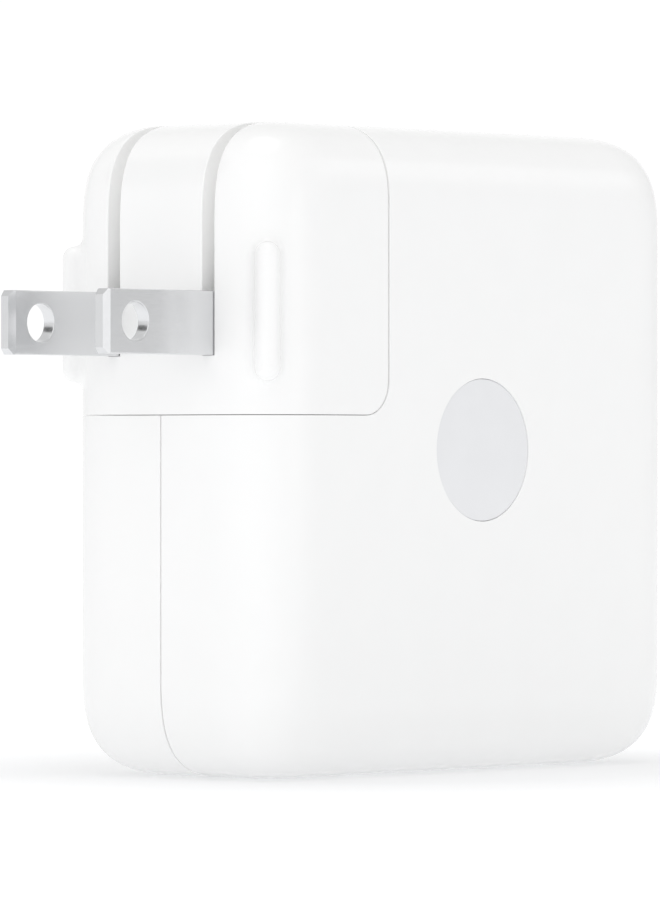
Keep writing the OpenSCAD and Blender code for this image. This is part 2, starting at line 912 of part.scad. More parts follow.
// Flat blade on the +Y side, with a round hub, a hole and a bevelled tip
module blade() {
    y = [blade_y - blade_t / 2, blade_y + blade_t / 2];
    low_x = blade_tip_x - past;
    slope = tip_bevel_y / tip_bevel_x;
    color("silver") difference() {
        union() {
            span([blade_tip_x, y[0], blade_z - hub_r], [pivot_x, y[1], blade_z + hub_r]);
            rod_y(y[0], y[1], pivot_x, blade_z, hub_r);
        }
        rod_y(y[0] - past, y[1] + past, blade_hole_x, blade_z, blade_hole_r);
        rod_y(y[0] - past, y[1] + past, pivot_x, blade_z, axle_r + fit);
        // Bevels on both flat sides of the tip
        for (side = [0, 1]) {
            out = 2 * side - 1;
            translate([0, 0, blade_z - blade_w]) linear_extrude(2 * blade_w) polygon([
                [low_x, y[side] - out * (tip_bevel_y + past * slope)],
                [blade_tip_x + tip_bevel_x, y[side]],
                [blade_tip_x + tip_bevel_x, y[side] + out],
                [low_x, y[side] + out]
            ]);
        }
        // Cut corners of the tip
        for (side = [-1, 1]) {
            edge = blade_z + side * hub_r;
            translate([0, y[1] + past, 0]) rotate([90, 0, 0]) linear_extrude(blade_t + 2 * past) polygon([
                [low_x, edge - side * (tip_corner + past)],
                [blade_tip_x + tip_corner + past, edge + side * past],
                [low_x, edge + side * past]
            ]);
        }
    }
}

module blade_front() {
    mirror([0, 1, 0]) blade();
}

module blade_back() {
    blade();
}

// Barrel with four flats, and stub axles that run through both hubs
module blade_carrier() {
    color("white") {
        rod_y(-axle_end, axle_end, pivot_x, blade_z, axle_r);
        intersection() {
            rod_y(-barrel_end, barrel_end, pivot_x, blade_z, barrel_r);
            translate([pivot_x, 0, blade_z])
                cube([2 * barrel_flat, 2 * far, 2 * barrel_flat], center = true);
        }
    }
}

// ---- parts ----

front_shell();
back_shell();
badge_inlay();
inlet_housing();
inlet_pin_line();
inlet_pin_neutral();
inlet_leads();
retaining_stud();
front_heat_spreader();
back_heat_spreader();
front_insulator();
back_insulator();
thermal_pad_front();
thermal_pad_back();
main_board();
fuse();
thermistor();
x_capacitor();
input_choke_core();
input_choke_windings();
bridge_rectifier();
input_inductor();
bulk_capacitor();
primary_heatsink();
primary_switch();
heatsink_screw();
transformer_core();
transformer_bobbin();
transformer_winding();
y_capacitor();
optocoupler();
controller_chip();
output_board();
output_rectifier();
output_inductor();
output_capacitors();
usb_c_shell();
usb_c_frame();
usb_c_tongue();
usb_c_contacts();
plug_shell();
plug_inner_cover();
socket_block();
socket_contact_line();
socket_contact_neutral();
contact_spring_line();
contact_spring_neutral();
stud_spring();
hinge_bracket_front();
hinge_bracket_back();
blade_detent_spring();
blade_front();
blade_back();
blade_carrier();
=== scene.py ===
"""Looks of the wall-plug power adapter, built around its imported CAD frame.

Lengths in this script are in millimetres, in the CAD's own frame, and become metres when a mesh is made.
"""

import json
from math import asin, atan2, cos, pi, radians, sin, sqrt, tan

import bmesh
import bpy
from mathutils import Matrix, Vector


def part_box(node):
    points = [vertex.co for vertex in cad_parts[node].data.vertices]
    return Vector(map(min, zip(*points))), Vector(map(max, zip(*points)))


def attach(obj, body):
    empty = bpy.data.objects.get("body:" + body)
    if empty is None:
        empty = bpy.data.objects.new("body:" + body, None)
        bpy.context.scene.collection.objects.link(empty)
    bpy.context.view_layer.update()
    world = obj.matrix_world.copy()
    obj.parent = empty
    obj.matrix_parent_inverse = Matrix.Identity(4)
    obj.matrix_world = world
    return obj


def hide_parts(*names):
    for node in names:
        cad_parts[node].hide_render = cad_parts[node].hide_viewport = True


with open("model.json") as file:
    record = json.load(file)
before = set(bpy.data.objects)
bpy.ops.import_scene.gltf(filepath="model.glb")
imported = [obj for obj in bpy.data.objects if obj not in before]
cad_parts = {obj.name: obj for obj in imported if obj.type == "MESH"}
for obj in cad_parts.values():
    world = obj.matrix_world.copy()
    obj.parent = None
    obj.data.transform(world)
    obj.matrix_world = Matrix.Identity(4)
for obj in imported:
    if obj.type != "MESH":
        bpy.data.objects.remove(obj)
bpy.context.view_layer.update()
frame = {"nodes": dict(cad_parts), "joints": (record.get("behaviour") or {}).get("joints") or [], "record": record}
MM = 0.001

# ---- sizes, from the frame ----


def box_of(*nodes):
    """Lowest and highest corner of some CAD nodes."""
    corners = [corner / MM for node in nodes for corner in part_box(node)]
    low = Vector([min(c[i] for c in corners) for i in range(3)])
    high = Vector([max(c[i] for c in corners) for i in range(3)])
    return low, high


def named(entries, name):
    return next(entry for entry in entries if entry["name"] == name)


case_high = box_of("front_shell", "back_shell")[1]
plug_low, plug_high = box_of("plug_shell")
HALF_W = case_high.x
HALF_T = case_high.y
TOP = case_high.z
MID_Z = TOP / 2

# Soft corners of a large face, soft edges between face and rim, and the walls
CORNER, CORNER_POWER = 11.2, 3.2
EDGE, EDGE_POWER = 8.1, 2.5
WALL = 2.1
# Locating lip of the back half: height on each side of the seam, thickness and depth of its root
LOCATE_H, LOCATE_T, LOCATE_ROOT = 1.4, 0.8, 0.5
# Place of the middle of a soft edge, as a share of the edge's size
EDGE_MIDDLE = 0.5 ** (1 / EDGE_POWER)

# How finely the corners, the edges, the notch's bend and the hidden forms are divided
CORNER_STEPS, EDGE_STEPS, BEND_STEPS, HIDDEN_STEPS = 26, 22, 10, 10
# Sides of the badge, of the stud, of most round shapes and of small ones
BADGE_SIDES, STUD_SIDES, ROUND_SIDES, SMALL_SIDES = 128, 96, 72, 48
# Steps of a round end, of a blade's hub and of the small rims of the port and the pins
END_STEPS, HUB_STEPS, RIM_STEPS = 40, 36, 8
# Angle past which an edge stays sharp, on most pieces and on the blades
SHARP, BLADE_SHARP = 38, 14
# How strongly large faces stay flat in smooth shading, from 1 to 100
FLAT_WEIGHT = 80

# Notch for the plug module, and the module's own faces
PLUG_X, PLUG_Z = plug_high.x, plug_low.z
NOTCH_Z = box_of("inlet_housing")[1].z
SEAM = PLUG_Z - NOTCH_Z
NOTCH_X = PLUG_X + SEAM
NOTCH_R = 3.5
BEND_X, BEND_Z = NOTCH_X - NOTCH_R, NOTCH_Z + NOTCH_R

# Small rounded lips: round the module, along the half seam, round the slots and at the slots' feet
LIP, HALF_LIP, SLOT_LIP, SLOT_FOOT_LIP = 0.08, 0.08, 0.12, 0.04
LIP_STEPS = 4
# Gaps as seen: under the module, beside it, and on each side of the half seam
FOOT_GAP, SIDE_GAP, HALF_GAP = 0.06, 0.26, 0.08

# Grip ribs on the plug module: place of the middle, size, height of the sides and radius of the foot
RIB_Z = NOTCH_Z + 10.2
RIB_LEN, RIB_W, RIB_OUT, RIB_SIDE = 13.7, 2.5, 2.0, 0.8
RIB_STRAIGHT = (RIB_LEN - RIB_W) / 2
RIB_BASE = 0.85
# Half width of a rib's patch, and the angles at which its lines fan out from the straight part's end
RIB_REACH = 2.2
RIB_FAN, RIB_FAN_END = [radians(a) for a in (9, 18, 27, 36)], radians(43)
RIB_FOOT_STEPS, RIB_CREST_STEPS = 5, 7
# Rows of the module's soft edge: angles and steps from slot to rib, and steps past the rib
ROW_FROM, ROW_TO, ROW_STEPS, FACE_STEPS = radians(10), radians(26), 4, 9

# Blades and their slots
blade_low, blade_high = box_of("blade_back")
PIVOT_X, _, BLADE_Z = [v / MM for v in named(frame["joints"], "blade_fold")["pos_m"]]
BLADE_HALF = (blade_high.z - blade_low.z) / 2
BLADE_T = blade_high.y - blade_low.y
BLADE_Y = (blade_high.y + blade_low.y) / 2
# Room for a blade in its slot: on each side, behind its hub and under it
SLOT_SIDE, SLOT_END, SLOT_FOOT = 0.06, 0.3, 0.02
SLOT_IN, SLOT_OUT = BLADE_Y - BLADE_T / 2 - SLOT_SIDE, BLADE_Y + BLADE_T / 2 + SLOT_SIDE
SLOT_BACK = PIVOT_X + BLADE_HALF + SLOT_END
SLOT_LOW = BLADE_Z - BLADE_HALF - SLOT_FOOT

# Clearances, and how far a cut runs past the surface that it opens
FIT, SLACK, PAST = 0.05, 0.3, 1.0

# Badge disc and the small lips round it and its pocket
badge_low, badge_high = box_of("badge_inlay")
BADGE_R = (badge_high.x - badge_low.x) / 2
BADGE_LIP, BADGE_BACK_LIP = 0.06, 0.02

# Mains inlet, its pins and the nose that enters it
pin_low, pin_high = box_of("inlet_pin_neutral")
INLET_X = (pin_low.x + pin_high.x) / 2
PIN_Y = (pin_low.y + pin_high.y) / 2
PIN_R = (pin_high.x - pin_low.x) / 2
NECK_X, NECK_Y = 4.5, 8.3
LOBE_R, LOBE_BEND, RECESS_DEPTH = 3.35, asin(0.6), 9.3
INLET_CORNER, INLET_LIP, NECK_LIP, RECESS_LIP, PIN_LIP = 0.6, 0.3, 0.2, 0.25, 0.15
sleeve_low, sleeve_high = box_of("socket_contact_neutral")
SLEEVE_R = (sleeve_high.x - sleeve_low.x) / 2
NOSE_R, NOSE_LIP, SOCKET_MOUTH_R = 3.15, 0.9, 1.5
NOSE_ROUND, MOUTH_ROUND = 0.35, 0.3
FLANGE_CORNER, FLANGE_LOW_LIP, FLANGE_HIGH_LIP = 0.5, 0.1, 0.2

# Stud in the notch, and the module's channel for it
stud_low, stud_high = box_of("retaining_stud")
STUD_Z = (stud_low.z + stud_high.z) / 2
STUD_HEAD_R = (stud_high.z - stud_low.z) / 2
STUD_HEAD_T, STUD_NECK_R, STUD_RIVET_R, STUD_LIP = 1.5, 2.7, 4.35, 0.3
COVER_T, CHANNEL_R, CHANNEL_SIDE, CHANNEL_WALL = 1.6, 5.1, 6.1, 0.9
CHANNEL_CORNER, CHANNEL_LIP = 1.0, 0.2
CHANNEL_X = box_of("plug_inner_cover")[0].x

# Outlet port
port_low, port_high = box_of("usb_c_shell")
PORT_T = port_high.y - port_low.y
PORT_W = port_high.z - port_low.z
PORT_SKIN, PORT_LIP = 0.25, 0.25
TONGUE_CORNER, TONGUE_LIP = 0.12, 0.15
CONTACTS, CONTACT_PITCH, CONTACT_T, CONTACT_LIP = 12, 0.5, 0.06, 0.02

# Floor and walls inside the plug module, and the blades' barrel
PLUG_FLOOR, POCKET_WALL = 2.0, 0.9
POCKET_Z = BLADE_Z + BLADE_HALF + SLACK
BARREL_R, BARREL_END, AXLE_R = 2.1, BLADE_Y - BLADE_T / 2 - FIT, 1.3

# Tips, rims and holes of the blades
holes = named(frame["record"]["mounts"], "blade_holes")
BLADE_HOLE_X, BLADE_HOLE_R = holes["pos_m"][0] / MM, holes["dims"]["r_mm"]
TIP_BEVEL_X, TIP_BEVEL_Y, TIP_CORNER = 0.82, 0.26, 0.6
BLADE_LIP, HOLE_LIP = 0.12, 0.14

# Turns of wire round the choke, height of a turn under the tape, and the can's stripe
CHOKE_TURNS, TAPE_TURN = 60, 0.7
STRIPE_HALF, STRIPE_COLOUR = 2.0, (0.75, 0.78, 0.85)

# Camera: direction, distance, sideways step, focal length, width of the sensor and range in metres
VIEW_AZIMUTH = radians(48.8)
VIEW_DISTANCE, VIEW_ASIDE = 727, 4.72
VIEW_LENS, VIEW_SENSOR = 282.8, 36
VIEW_NEAR, VIEW_FAR = 0.05, 50

# Studio. Light bounces often enough to fill the white slots and seams
LIGHT_BOUNCES = 32
# Floor, a hair below the object. It glows less near the object than far from it: a painted contact shadow round
# the object, which also dims the light the floor throws up onto the object's underside
FLOOR_R, FLOOR_SIDES, FLOOR_DROP = 6000, 96, 0.02
FLOOR_WHITE, FLOOR_ROUGH, FLOOR_TINT = 0.6, 0.9, (0.975, 0.985, 1)
FLOOR_NEAR, FLOOR_PAINTED_SHADOW_GLOW = 30, 0.335
FLOOR_FAR, FLOOR_FAR_GLOW = 75, 0.54
WORLD_LIGHT = 0.745
# Parts of the surroundings: (direction, how much brighter or darker, where it starts and is full)
WORLD_PATCHES = [
    ((0.75, -0.66, 0), -0.15, 0.25, 1.0),
    ((0.75, 0.66, 0), 0.29, 0.8, 0.95),
    ((-0.575, 0.66, 0.48), -0.75, 0.96, 0.98),
    ((0.75, -0.52, 0.4), 0.6, 0.975, 0.99),
    ((0.24, -0.97, 0), 0.6, 0.965, 0.985),
    ((-0.87, -0.15, 0.47), 0.26, 0.3, 1.0),
]
# (name, place, size, power in watts) of each light
LIGHTS = [
    ("left", (-760, -460, 620), 900, 0.35),
    ("top", (-50, -50, 1100), 700, 1.5),
]

# ---- mesh building ----


class Skin:
    """Patches of surface that weld where they meet."""

    def __init__(self):
        self.points = []
        self.faces = []

    def face(self, corners):
        start = len(self.points)
        self.points += corners
        self.faces.append(range(start, start + len(corners)))

    def grid(self, lines, closed=False):
        """Quads between neighbouring lines of points, all of one length."""
        start, width = len(self.points), len(lines[0])
        for line in lines:
            self.points += line
        for j in range(len(lines) - 1):
            for i in range(width if closed else width - 1):
                a, b = start + j * width + i, start + j * width + (i + 1) % width
                self.faces.append((a, b, b + width, a + width))

    def loft(self, loops):
        """Closed tube through the loops, with both ends filled."""
        self.grid(loops, closed=True)
        self.face(loops[0])
        self.face(loops[-1])

    def piece(self, name, weld=0.012):
        bm = bmesh.new()
        verts = [bm.verts.new(Vector(p) * MM) for p in self.points]
        for face in self.faces:
            bm.faces.new([verts[i] for i in face])
        bmesh.ops.remove_doubles(bm, verts=bm.verts, dist=weld * MM)
        bmesh.ops.dissolve_degenerate(bm, dist=weld * MM, edges=bm.edges)
        bmesh.ops.recalc_face_normals(bm, faces=bm.faces)
        return piece_from(bm, name)


def in_scene(name, data):
    """New object with some data, in the scene."""
    made = bpy.data.objects.new(name, data)
    bpy.context.scene.collection.objects.link(made)
    return made


def piece_from(bm, name):
    mesh = bpy.data.meshes.new(name)
    bm.to_mesh(mesh)
    bm.free()
    return in_scene(name, mesh)


def apply_modifiers(piece):
    graph = bpy.context.evaluated_depsgraph_get()
    mesh = bpy.data.meshes.new_from_object(piece.evaluated_get(graph), depsgraph=graph)
    piece.modifiers.clear()
    piece.data = mesh


def combine(piece, others, operation):
    """Changes a piece by the shapes of others, which are used up."""
    for other in others:
        boolean = piece.modifiers.new("combine", "BOOLEAN")
        boolean.operation = operation
        boolean.solver = "EXACT"
        boolean.object = other
        apply_modifiers(piece)
        bpy.data.objects.remove(other)
    return piece


def cut(piece, *cutters):
    """Takes the cutters' shapes out of a piece."""
    return combine(piece, cutters, "DIFFERENCE")


def join(piece, *others):
    """Makes one closed shape of a piece and others."""
    return combine(piece, others, "UNION")


def smooth(piece, angle=SHARP):
    """Smooth shading with sharp edges kept, and flat faces that stay flat."""
    bm = bmesh.new()
    bm.from_mesh(piece.data)
    for edge in bm.edges:
        edge.smooth = len(edge.link_faces) == 2 and edge.calc_face_angle() < radians(angle)
    for face in bm.faces:
        face.smooth = True
    bm.to_mesh(piece.data)
    bm.free()
    weighted = piece.modifiers.new("flat faces", "WEIGHTED_NORMAL")
    weighted.keep_sharp = True
    weighted.weight = FLAT_WEIGHT
    apply_modifiers(piece)
    return piece


def steps(first, last, count):
    """Even steps from first to last, with both ends."""
    return [first + (last - first) * i / count for i in range(count + 1)]


def lip_steps(size):
    """(distance from the cut, depth under the surface) round a lip, outside first."""
    angles = steps(0, pi / 2, LIP_STEPS)
    return [(size * (1 - sin(a)), size * (1 - cos(a))) for a in angles]


def prism(name, axis, outline, profile, ring=False):
    """Shape along an axis (0, 1 or 2). outline turns an inset into points across the axis, and profile
    lists (place along the axis, inset). A ring's profile runs round its section, back to its start."""
    skin = Skin()
    loops = []
    for place, inset in profile:
        loop = []
        for u, v in outline(inset):
            loop.append(((place, u, v), (u, place, v), (u, v, place))[axis])
        loops.append(loop)
    if ring:
        skin.grid([*loops, loops[0]], closed=True)
    else:
        skin.loft(loops)
    return skin.piece(name)


def circle(u, v, radius, sides=ROUND_SIDES):
    """Outline of a round shape."""
    angles = steps(0, 2 * pi, sides)[:-1]
    return lambda inset: [(u + (radius - inset) * cos(a), v + (radius - inset) * sin(a)) for a in angles]


def rectangle(low, high, radius=0.0, count=6):
    """Outline of a rectangle between two corners, with round corners."""
    corners = [(high[0], high[1], 0), (low[0], high[1], 1), (low[0], low[1], 2), (high[0], low[1], 3)]

    def outline(inset):
        r = max(radius - inset, 0)
        in_by = max(radius, inset)
        points = []
        for u, v, quarter in corners:
            centre_u = u - in_by if u == high[0] else u + in_by
            centre_v = v - in_by if v == high[1] else v + in_by
            for a in steps(quarter * pi / 2, (quarter + 1) * pi / 2, count):
                points.append((centre_u + r * cos(a), centre_v + r * sin(a)))
        return points

    return outline


def rounded(low, high, low_lip, high_lip, count=4):
    """Profile from low to high with a rounded lip at each end."""
    angles = steps(0, pi / 2, count)
    profile = [(low + low_lip * (1 - sin(a)), low_lip * (1 - cos(a))) for a in reversed(angles)]
    return profile + [(high - high_lip * (1 - sin(a)), high_lip * (1 - cos(a))) for a in angles]


def mouth(inside, surface, lip, count=5):
    """Profile of a cut that runs out through a surface and rounds its rim."""
    out = 1 if surface > inside else -1
    rim = [(surface - out * lip * (1 - sin(a)), -lip * (1 - cos(a))) for a in steps(0, pi / 2, count)]
    return [(inside, 0), *rim, (surface + out * PAST, -lip)]


def merged(name, pieces):
    """One piece made of several that don't touch."""
    bm = bmesh.new()
    for piece in pieces:
        bm.from_mesh(piece.data)
        bpy.data.objects.remove(piece)
    return piece_from(bm, name)


# ---- the soft square form ----


def soft_point(angle, power):
    """Point of a soft quarter corner in the direction of angle, from (1, 0) to (0, 1)."""
    c, s = max(cos(angle), 0), max(sin(angle), 0)
    reach = (c ** power + s ** power) ** (-1 / power)
    return c * reach, s * reach


def level_row(y, depth=0):
    """Row of the rim at a fixed y. A row turns a depth into (inset, y)."""

    def row(more):
        inset = depth + more
        rise = (abs(y) - HALF_T + EDGE) / (EDGE - inset)
        if rise > 0:
            inset += (EDGE - inset) * (1 - (1 - rise ** EDGE_POWER) ** (1 / EDGE_POWER))
        return inset, y

    return row


def curved_row(angle, side):
    """Row of the soft edge, at an angle of its bend."""
    c, s = soft_point(angle, EDGE_POWER)

    def row(depth):
        bend = EDGE - depth
        return depth + bend * (1 - c), side * (HALF_T - EDGE + bend * s)

    return row


def column(place, depth=0):
    """A column has a place, which turns an inset into (x, z), and a depth of its own."""
    return place, depth


def top_column(x, depth=0):
    return column(lambda inset: (x, TOP - inset), depth)


def left_column(z, depth=0):
    return column(lambda inset: (inset - HALF_W, z), depth)


def corner_column(side_x, side_z, angle, depth=0):
    c, s = soft_point(angle, CORNER_POWER)

    def place(inset):
        r = CORNER - inset
        return side_x * (HALF_W - CORNER + r * c), MID_Z + side_z * (MID_Z - CORNER + r * s)

    return column(place, depth)


def vertex(row, col, depth=0):
    place, own_depth = col
    inset, y = row(own_depth + depth)
    x, z = place(inset)
    return x, y, z


def bend_points(offset, foot_offset=None):
    """Inner corner of the notch as (x, z), grown into the brick by an offset at its side and at its foot."""
    across = NOTCH_R + offset
    down = NOTCH_R + (offset if foot_offset is None else foot_offset)
    return [(BEND_X + across * cos(a), BEND_Z - down * sin(a)) for a in steps(0, pi / 2, BEND_STEPS)]


def notch_path(offset, foot_offset=None):
    """Line of the notch across a large face, from the top to the plug face."""
    bend = bend_points(offset, foot_offset)
    return [(bend[0][0], TOP - EDGE), *bend, (EDGE - HALF_W, bend[-1][1])]


def at_y(points, y):
    return [(x, y, z) for x, z in points]


def brick_columns(offset, lips, depth=0, count=CORNER_STEPS):
    """Columns round the brick, from the notch in the top to the notch in the plug face."""
    turn = steps(0, pi / 2, count)
    return [
        *[top_column(NOTCH_X + offset + d, depth + h) for d, h in reversed(lips)],
        *[corner_column(1, 1, a, depth) for a in reversed(turn)],
        *[corner_column(1, -1, a, depth) for a in turn],
        *[corner_column(-1, -1, a, depth) for a in reversed(turn)],
        *[left_column(NOTCH_Z - offset - d, depth + h) for d, h in lips],
    ]


def half_casing(name, side):
    """Solid half of the brick's form on one side of the half seam, without its hollow."""
    skin = Skin()
    lips = lip_steps(LIP)
    columns = brick_columns(0, lips)
    rows = [level_row(side * (HALF_GAP + d), h) for d, h in reversed(lip_steps(HALF_LIP))]
    rows += [curved_row(a, side) for a in steps(0, pi / 2, EDGE_STEPS)]
    skin.grid([[vertex(row, col) for col in columns] for row in rows])

    # Large face, and the lip along the notch on it
    rim = [vertex(rows[-1], col) for col in columns[LIP_STEPS:-LIP_STEPS]]
    path = at_y(notch_path(LIP), side * HALF_T)
    skin.face(rim + path[-2:0:-1])
    skin.grid([at_y(notch_path(d), side * (HALF_T - h)) for d, h in lips])

    # Walls of the notch, and the face that meets the other half
    face_y = side * (HALF_T - LIP)
    upright = [vertex(row, columns[0]) for row in rows]
    floor = [vertex(row, columns[-1]) for row in rows]
    meet_y = side * HALF_GAP
    skin.face(upright + at_y([(NOTCH_X, BEND_Z)], face_y) + at_y([(NOTCH_X, BEND_Z)], meet_y))
    skin.face(floor + at_y([(BEND_X, NOTCH_Z)], face_y) + at_y([(BEND_X, NOTCH_Z)], meet_y))
    skin.grid([at_y(bend_points(0), y) for y in (meet_y, face_y)])
    skin.face([vertex(rows[0], col) for col in columns] + at_y(bend_points(0), meet_y)[::-1])
    return skin.piece(name)


def edge_rows(side):
    """Rows round the soft edge of a hidden form, towards the large face."""
    return [curved_row(a, side) for a in steps(0, pi / 2, HIDDEN_STEPS)]


def inner_form(inset, rows):
    """Closed form at an inset inside the brick, through rows of its rim."""
    skin = Skin()
    columns = brick_columns(inset, [(0, 0)], inset, HIDDEN_STEPS)
    loops = []
    for row in rows:
        rim = [vertex(row, col) for col in columns]
        loops.append(rim + at_y(bend_points(inset), rim[0][1])[::-1])
    skin.loft(loops)
    return skin.piece("inner_form")


def brick_hollow(side):
    """Hollow inside one half of the brick."""
    return inner_form(WALL, [level_row(-side), *edge_rows(side)])


def locating_lip():
    """Lip that stands in the front half, rooted in the wall of the back half."""
    lip = inner_form(WALL + FIT, [level_row(-LOCATE_H), level_row(LOCATE_H)])
    join(lip, inner_form(WALL - LOCATE_ROOT, [level_row(HALF_GAP + FIT), level_row(LOCATE_H)]))
    inside = inner_form(WALL + LOCATE_T, [level_row(-LOCATE_H - PAST), level_row(LOCATE_H + PAST)])
    port = rectangle((HALF_W - WALL - 2 * LOCATE_T, MID_Z - PORT_W), (HALF_W, MID_Z + PORT_W))
    inlet_low = box_of("inlet_housing")[0].z
    inlet = rectangle((INLET_X - 2 * NECK_X, inlet_low), (INLET_X + 2 * NECK_X, NOTCH_Z))
    for shape in (port, inlet):
        cut(lip, prism("opening", 1, shape, [(-HALF_T, 0), (HALF_T, 0)]))
    stud = circle(0, STUD_Z, STUD_HEAD_R + PAST)
    stud_x = NOTCH_X + LOCATE_T
    return cut(lip, inside, prism("stud", 0, stud, [(stud_x, 0), (stud_x + 2 * WALL, 0)]))


# ---- plug module's casing ----


def edge_angle(across):
    """Angle of the soft edge's bend at a distance across it, measured from its middle."""
    low, high = 0, pi / 2
    for _ in range(40):
        middle = (low + high) / 2
        c, s = soft_point(middle, EDGE_POWER)
        if EDGE * (s - c) / sqrt(2) < across:
            low = middle
        else:
            high = middle
    return (low + high) / 2


def edge_height(across):
    """Height of the soft edge at a distance across it, against its middle."""
    c, s = soft_point(edge_angle(across), EDGE_POWER)
    return EDGE * (c + s - 2 * EDGE_MIDDLE) / sqrt(2)


def rib_levels():
    """Distances along a rib, from its middle, at which its patch has lines."""
    return [RIB_STRAIGHT, *[RIB_STRAIGHT + RIB_REACH * tan(a) for a in (*RIB_FAN, RIB_FAN_END)]]


def rib_rows():
    """Distances across a rib at which its patch has lines."""
    reach = rib_levels()[-1] - rib_levels()[0]
    inner = [reach * tan(a) for a in RIB_FAN]
    return [-RIB_REACH, *[-q for q in reversed(inner)], 0, *inner, RIB_REACH]


def rib_patch(skin, side, levels):
    """Grip rib with a soft foot, which fills its opening in the grid of the soft edge."""
    across = rib_rows()
    border = [(-RIB_REACH, z) for z in levels] + [(q, levels[-1]) for q in across[1:-1]]
    border += [(RIB_REACH, z) for z in reversed(levels)] + [(q, levels[0]) for q in across[-2:0:-1]]
    inset = EDGE * (1 - EDGE_MIDDLE)
    rise = RIB_OUT - RIB_SIDE
    crest_r = ((RIB_W / 2) ** 2 + rise ** 2) / (2 * rise)

    def place(q, z, height):
        lift = height / sqrt(2)
        shift = q / sqrt(2)
        return inset - HALF_W + shift - lift, side * (HALF_T - inset + shift + lift), z

    def ring(distance, height, on_edge):
        loop = []
        for q, z in border:
            foot = max(-RIB_STRAIGHT, min(RIB_STRAIGHT, z - RIB_Z))
            turn = atan2(z - RIB_Z - foot, q)
            here = distance * cos(turn)
            base = edge_height(here) if on_edge else 0
            loop.append(place(here, RIB_Z + foot + distance * sin(turn), base + height))
        return loop

    rings = [[place(q, z, edge_height(q)) for q, z in border]]
    for a in steps(0, pi / 2, RIB_FOOT_STEPS):
        rings.append(ring(RIB_W / 2 + RIB_BASE * (1 - sin(a)), RIB_BASE * (1 - cos(a)), True))
    for a in steps(asin(RIB_W / 2 / crest_r), 0, RIB_CREST_STEPS):
        rings.append(ring(crest_r * sin(a), RIB_OUT - crest_r + crest_r * cos(a), False))
    skin.grid(rings, closed=True)


def slot_angle(x, depth):
    """Angle of the top corner at which the slot's back wall meets it."""
    c = (CORNER - HALF_W - x) / (CORNER - depth)
    return atan2((1 - c ** CORNER_POWER) ** (1 / CORNER_POWER), c)


def slot_patch(skin, side, between):
    """Slot for a folded blade: rounded lip, side walls, floor and back."""
    loops = []
    for d, h in lip_steps(SLOT_LIP):
        foot = d * SLOT_FOOT_LIP / SLOT_LIP
        line = [left_column(SLOT_LOW - foot), *between, corner_column(-1, 1, slot_angle(SLOT_BACK + d, h))]
        inner, outer = level_row(side * (SLOT_IN - d)), level_row(side * (SLOT_OUT + d))
        middle = level_row(side * (HALF_T - EDGE))
        loops.append((
            [vertex(inner, col, h) for col in line],
            [vertex(middle, line[-1], h)],
            [vertex(outer, col, h) for col in reversed(line)],
            [vertex(middle, line[0], h)],
        ))
    skin.grid([a + b + c + d for a, b, c, d in loops], closed=True)
    inner, back, outer, low = loops[-1]
    inner_foot = (SLOT_BACK, side * SLOT_IN, SLOT_LOW)
    outer_foot = (SLOT_BACK, side * SLOT_OUT, SLOT_LOW)
    skin.face([*inner, inner_foot])
    skin.face([*outer, outer_foot])
    skin.face([inner[0], inner_foot, outer_foot, outer[-1], *low])
    skin.face([inner[-1], *back, outer[0], outer_foot, inner_foot])


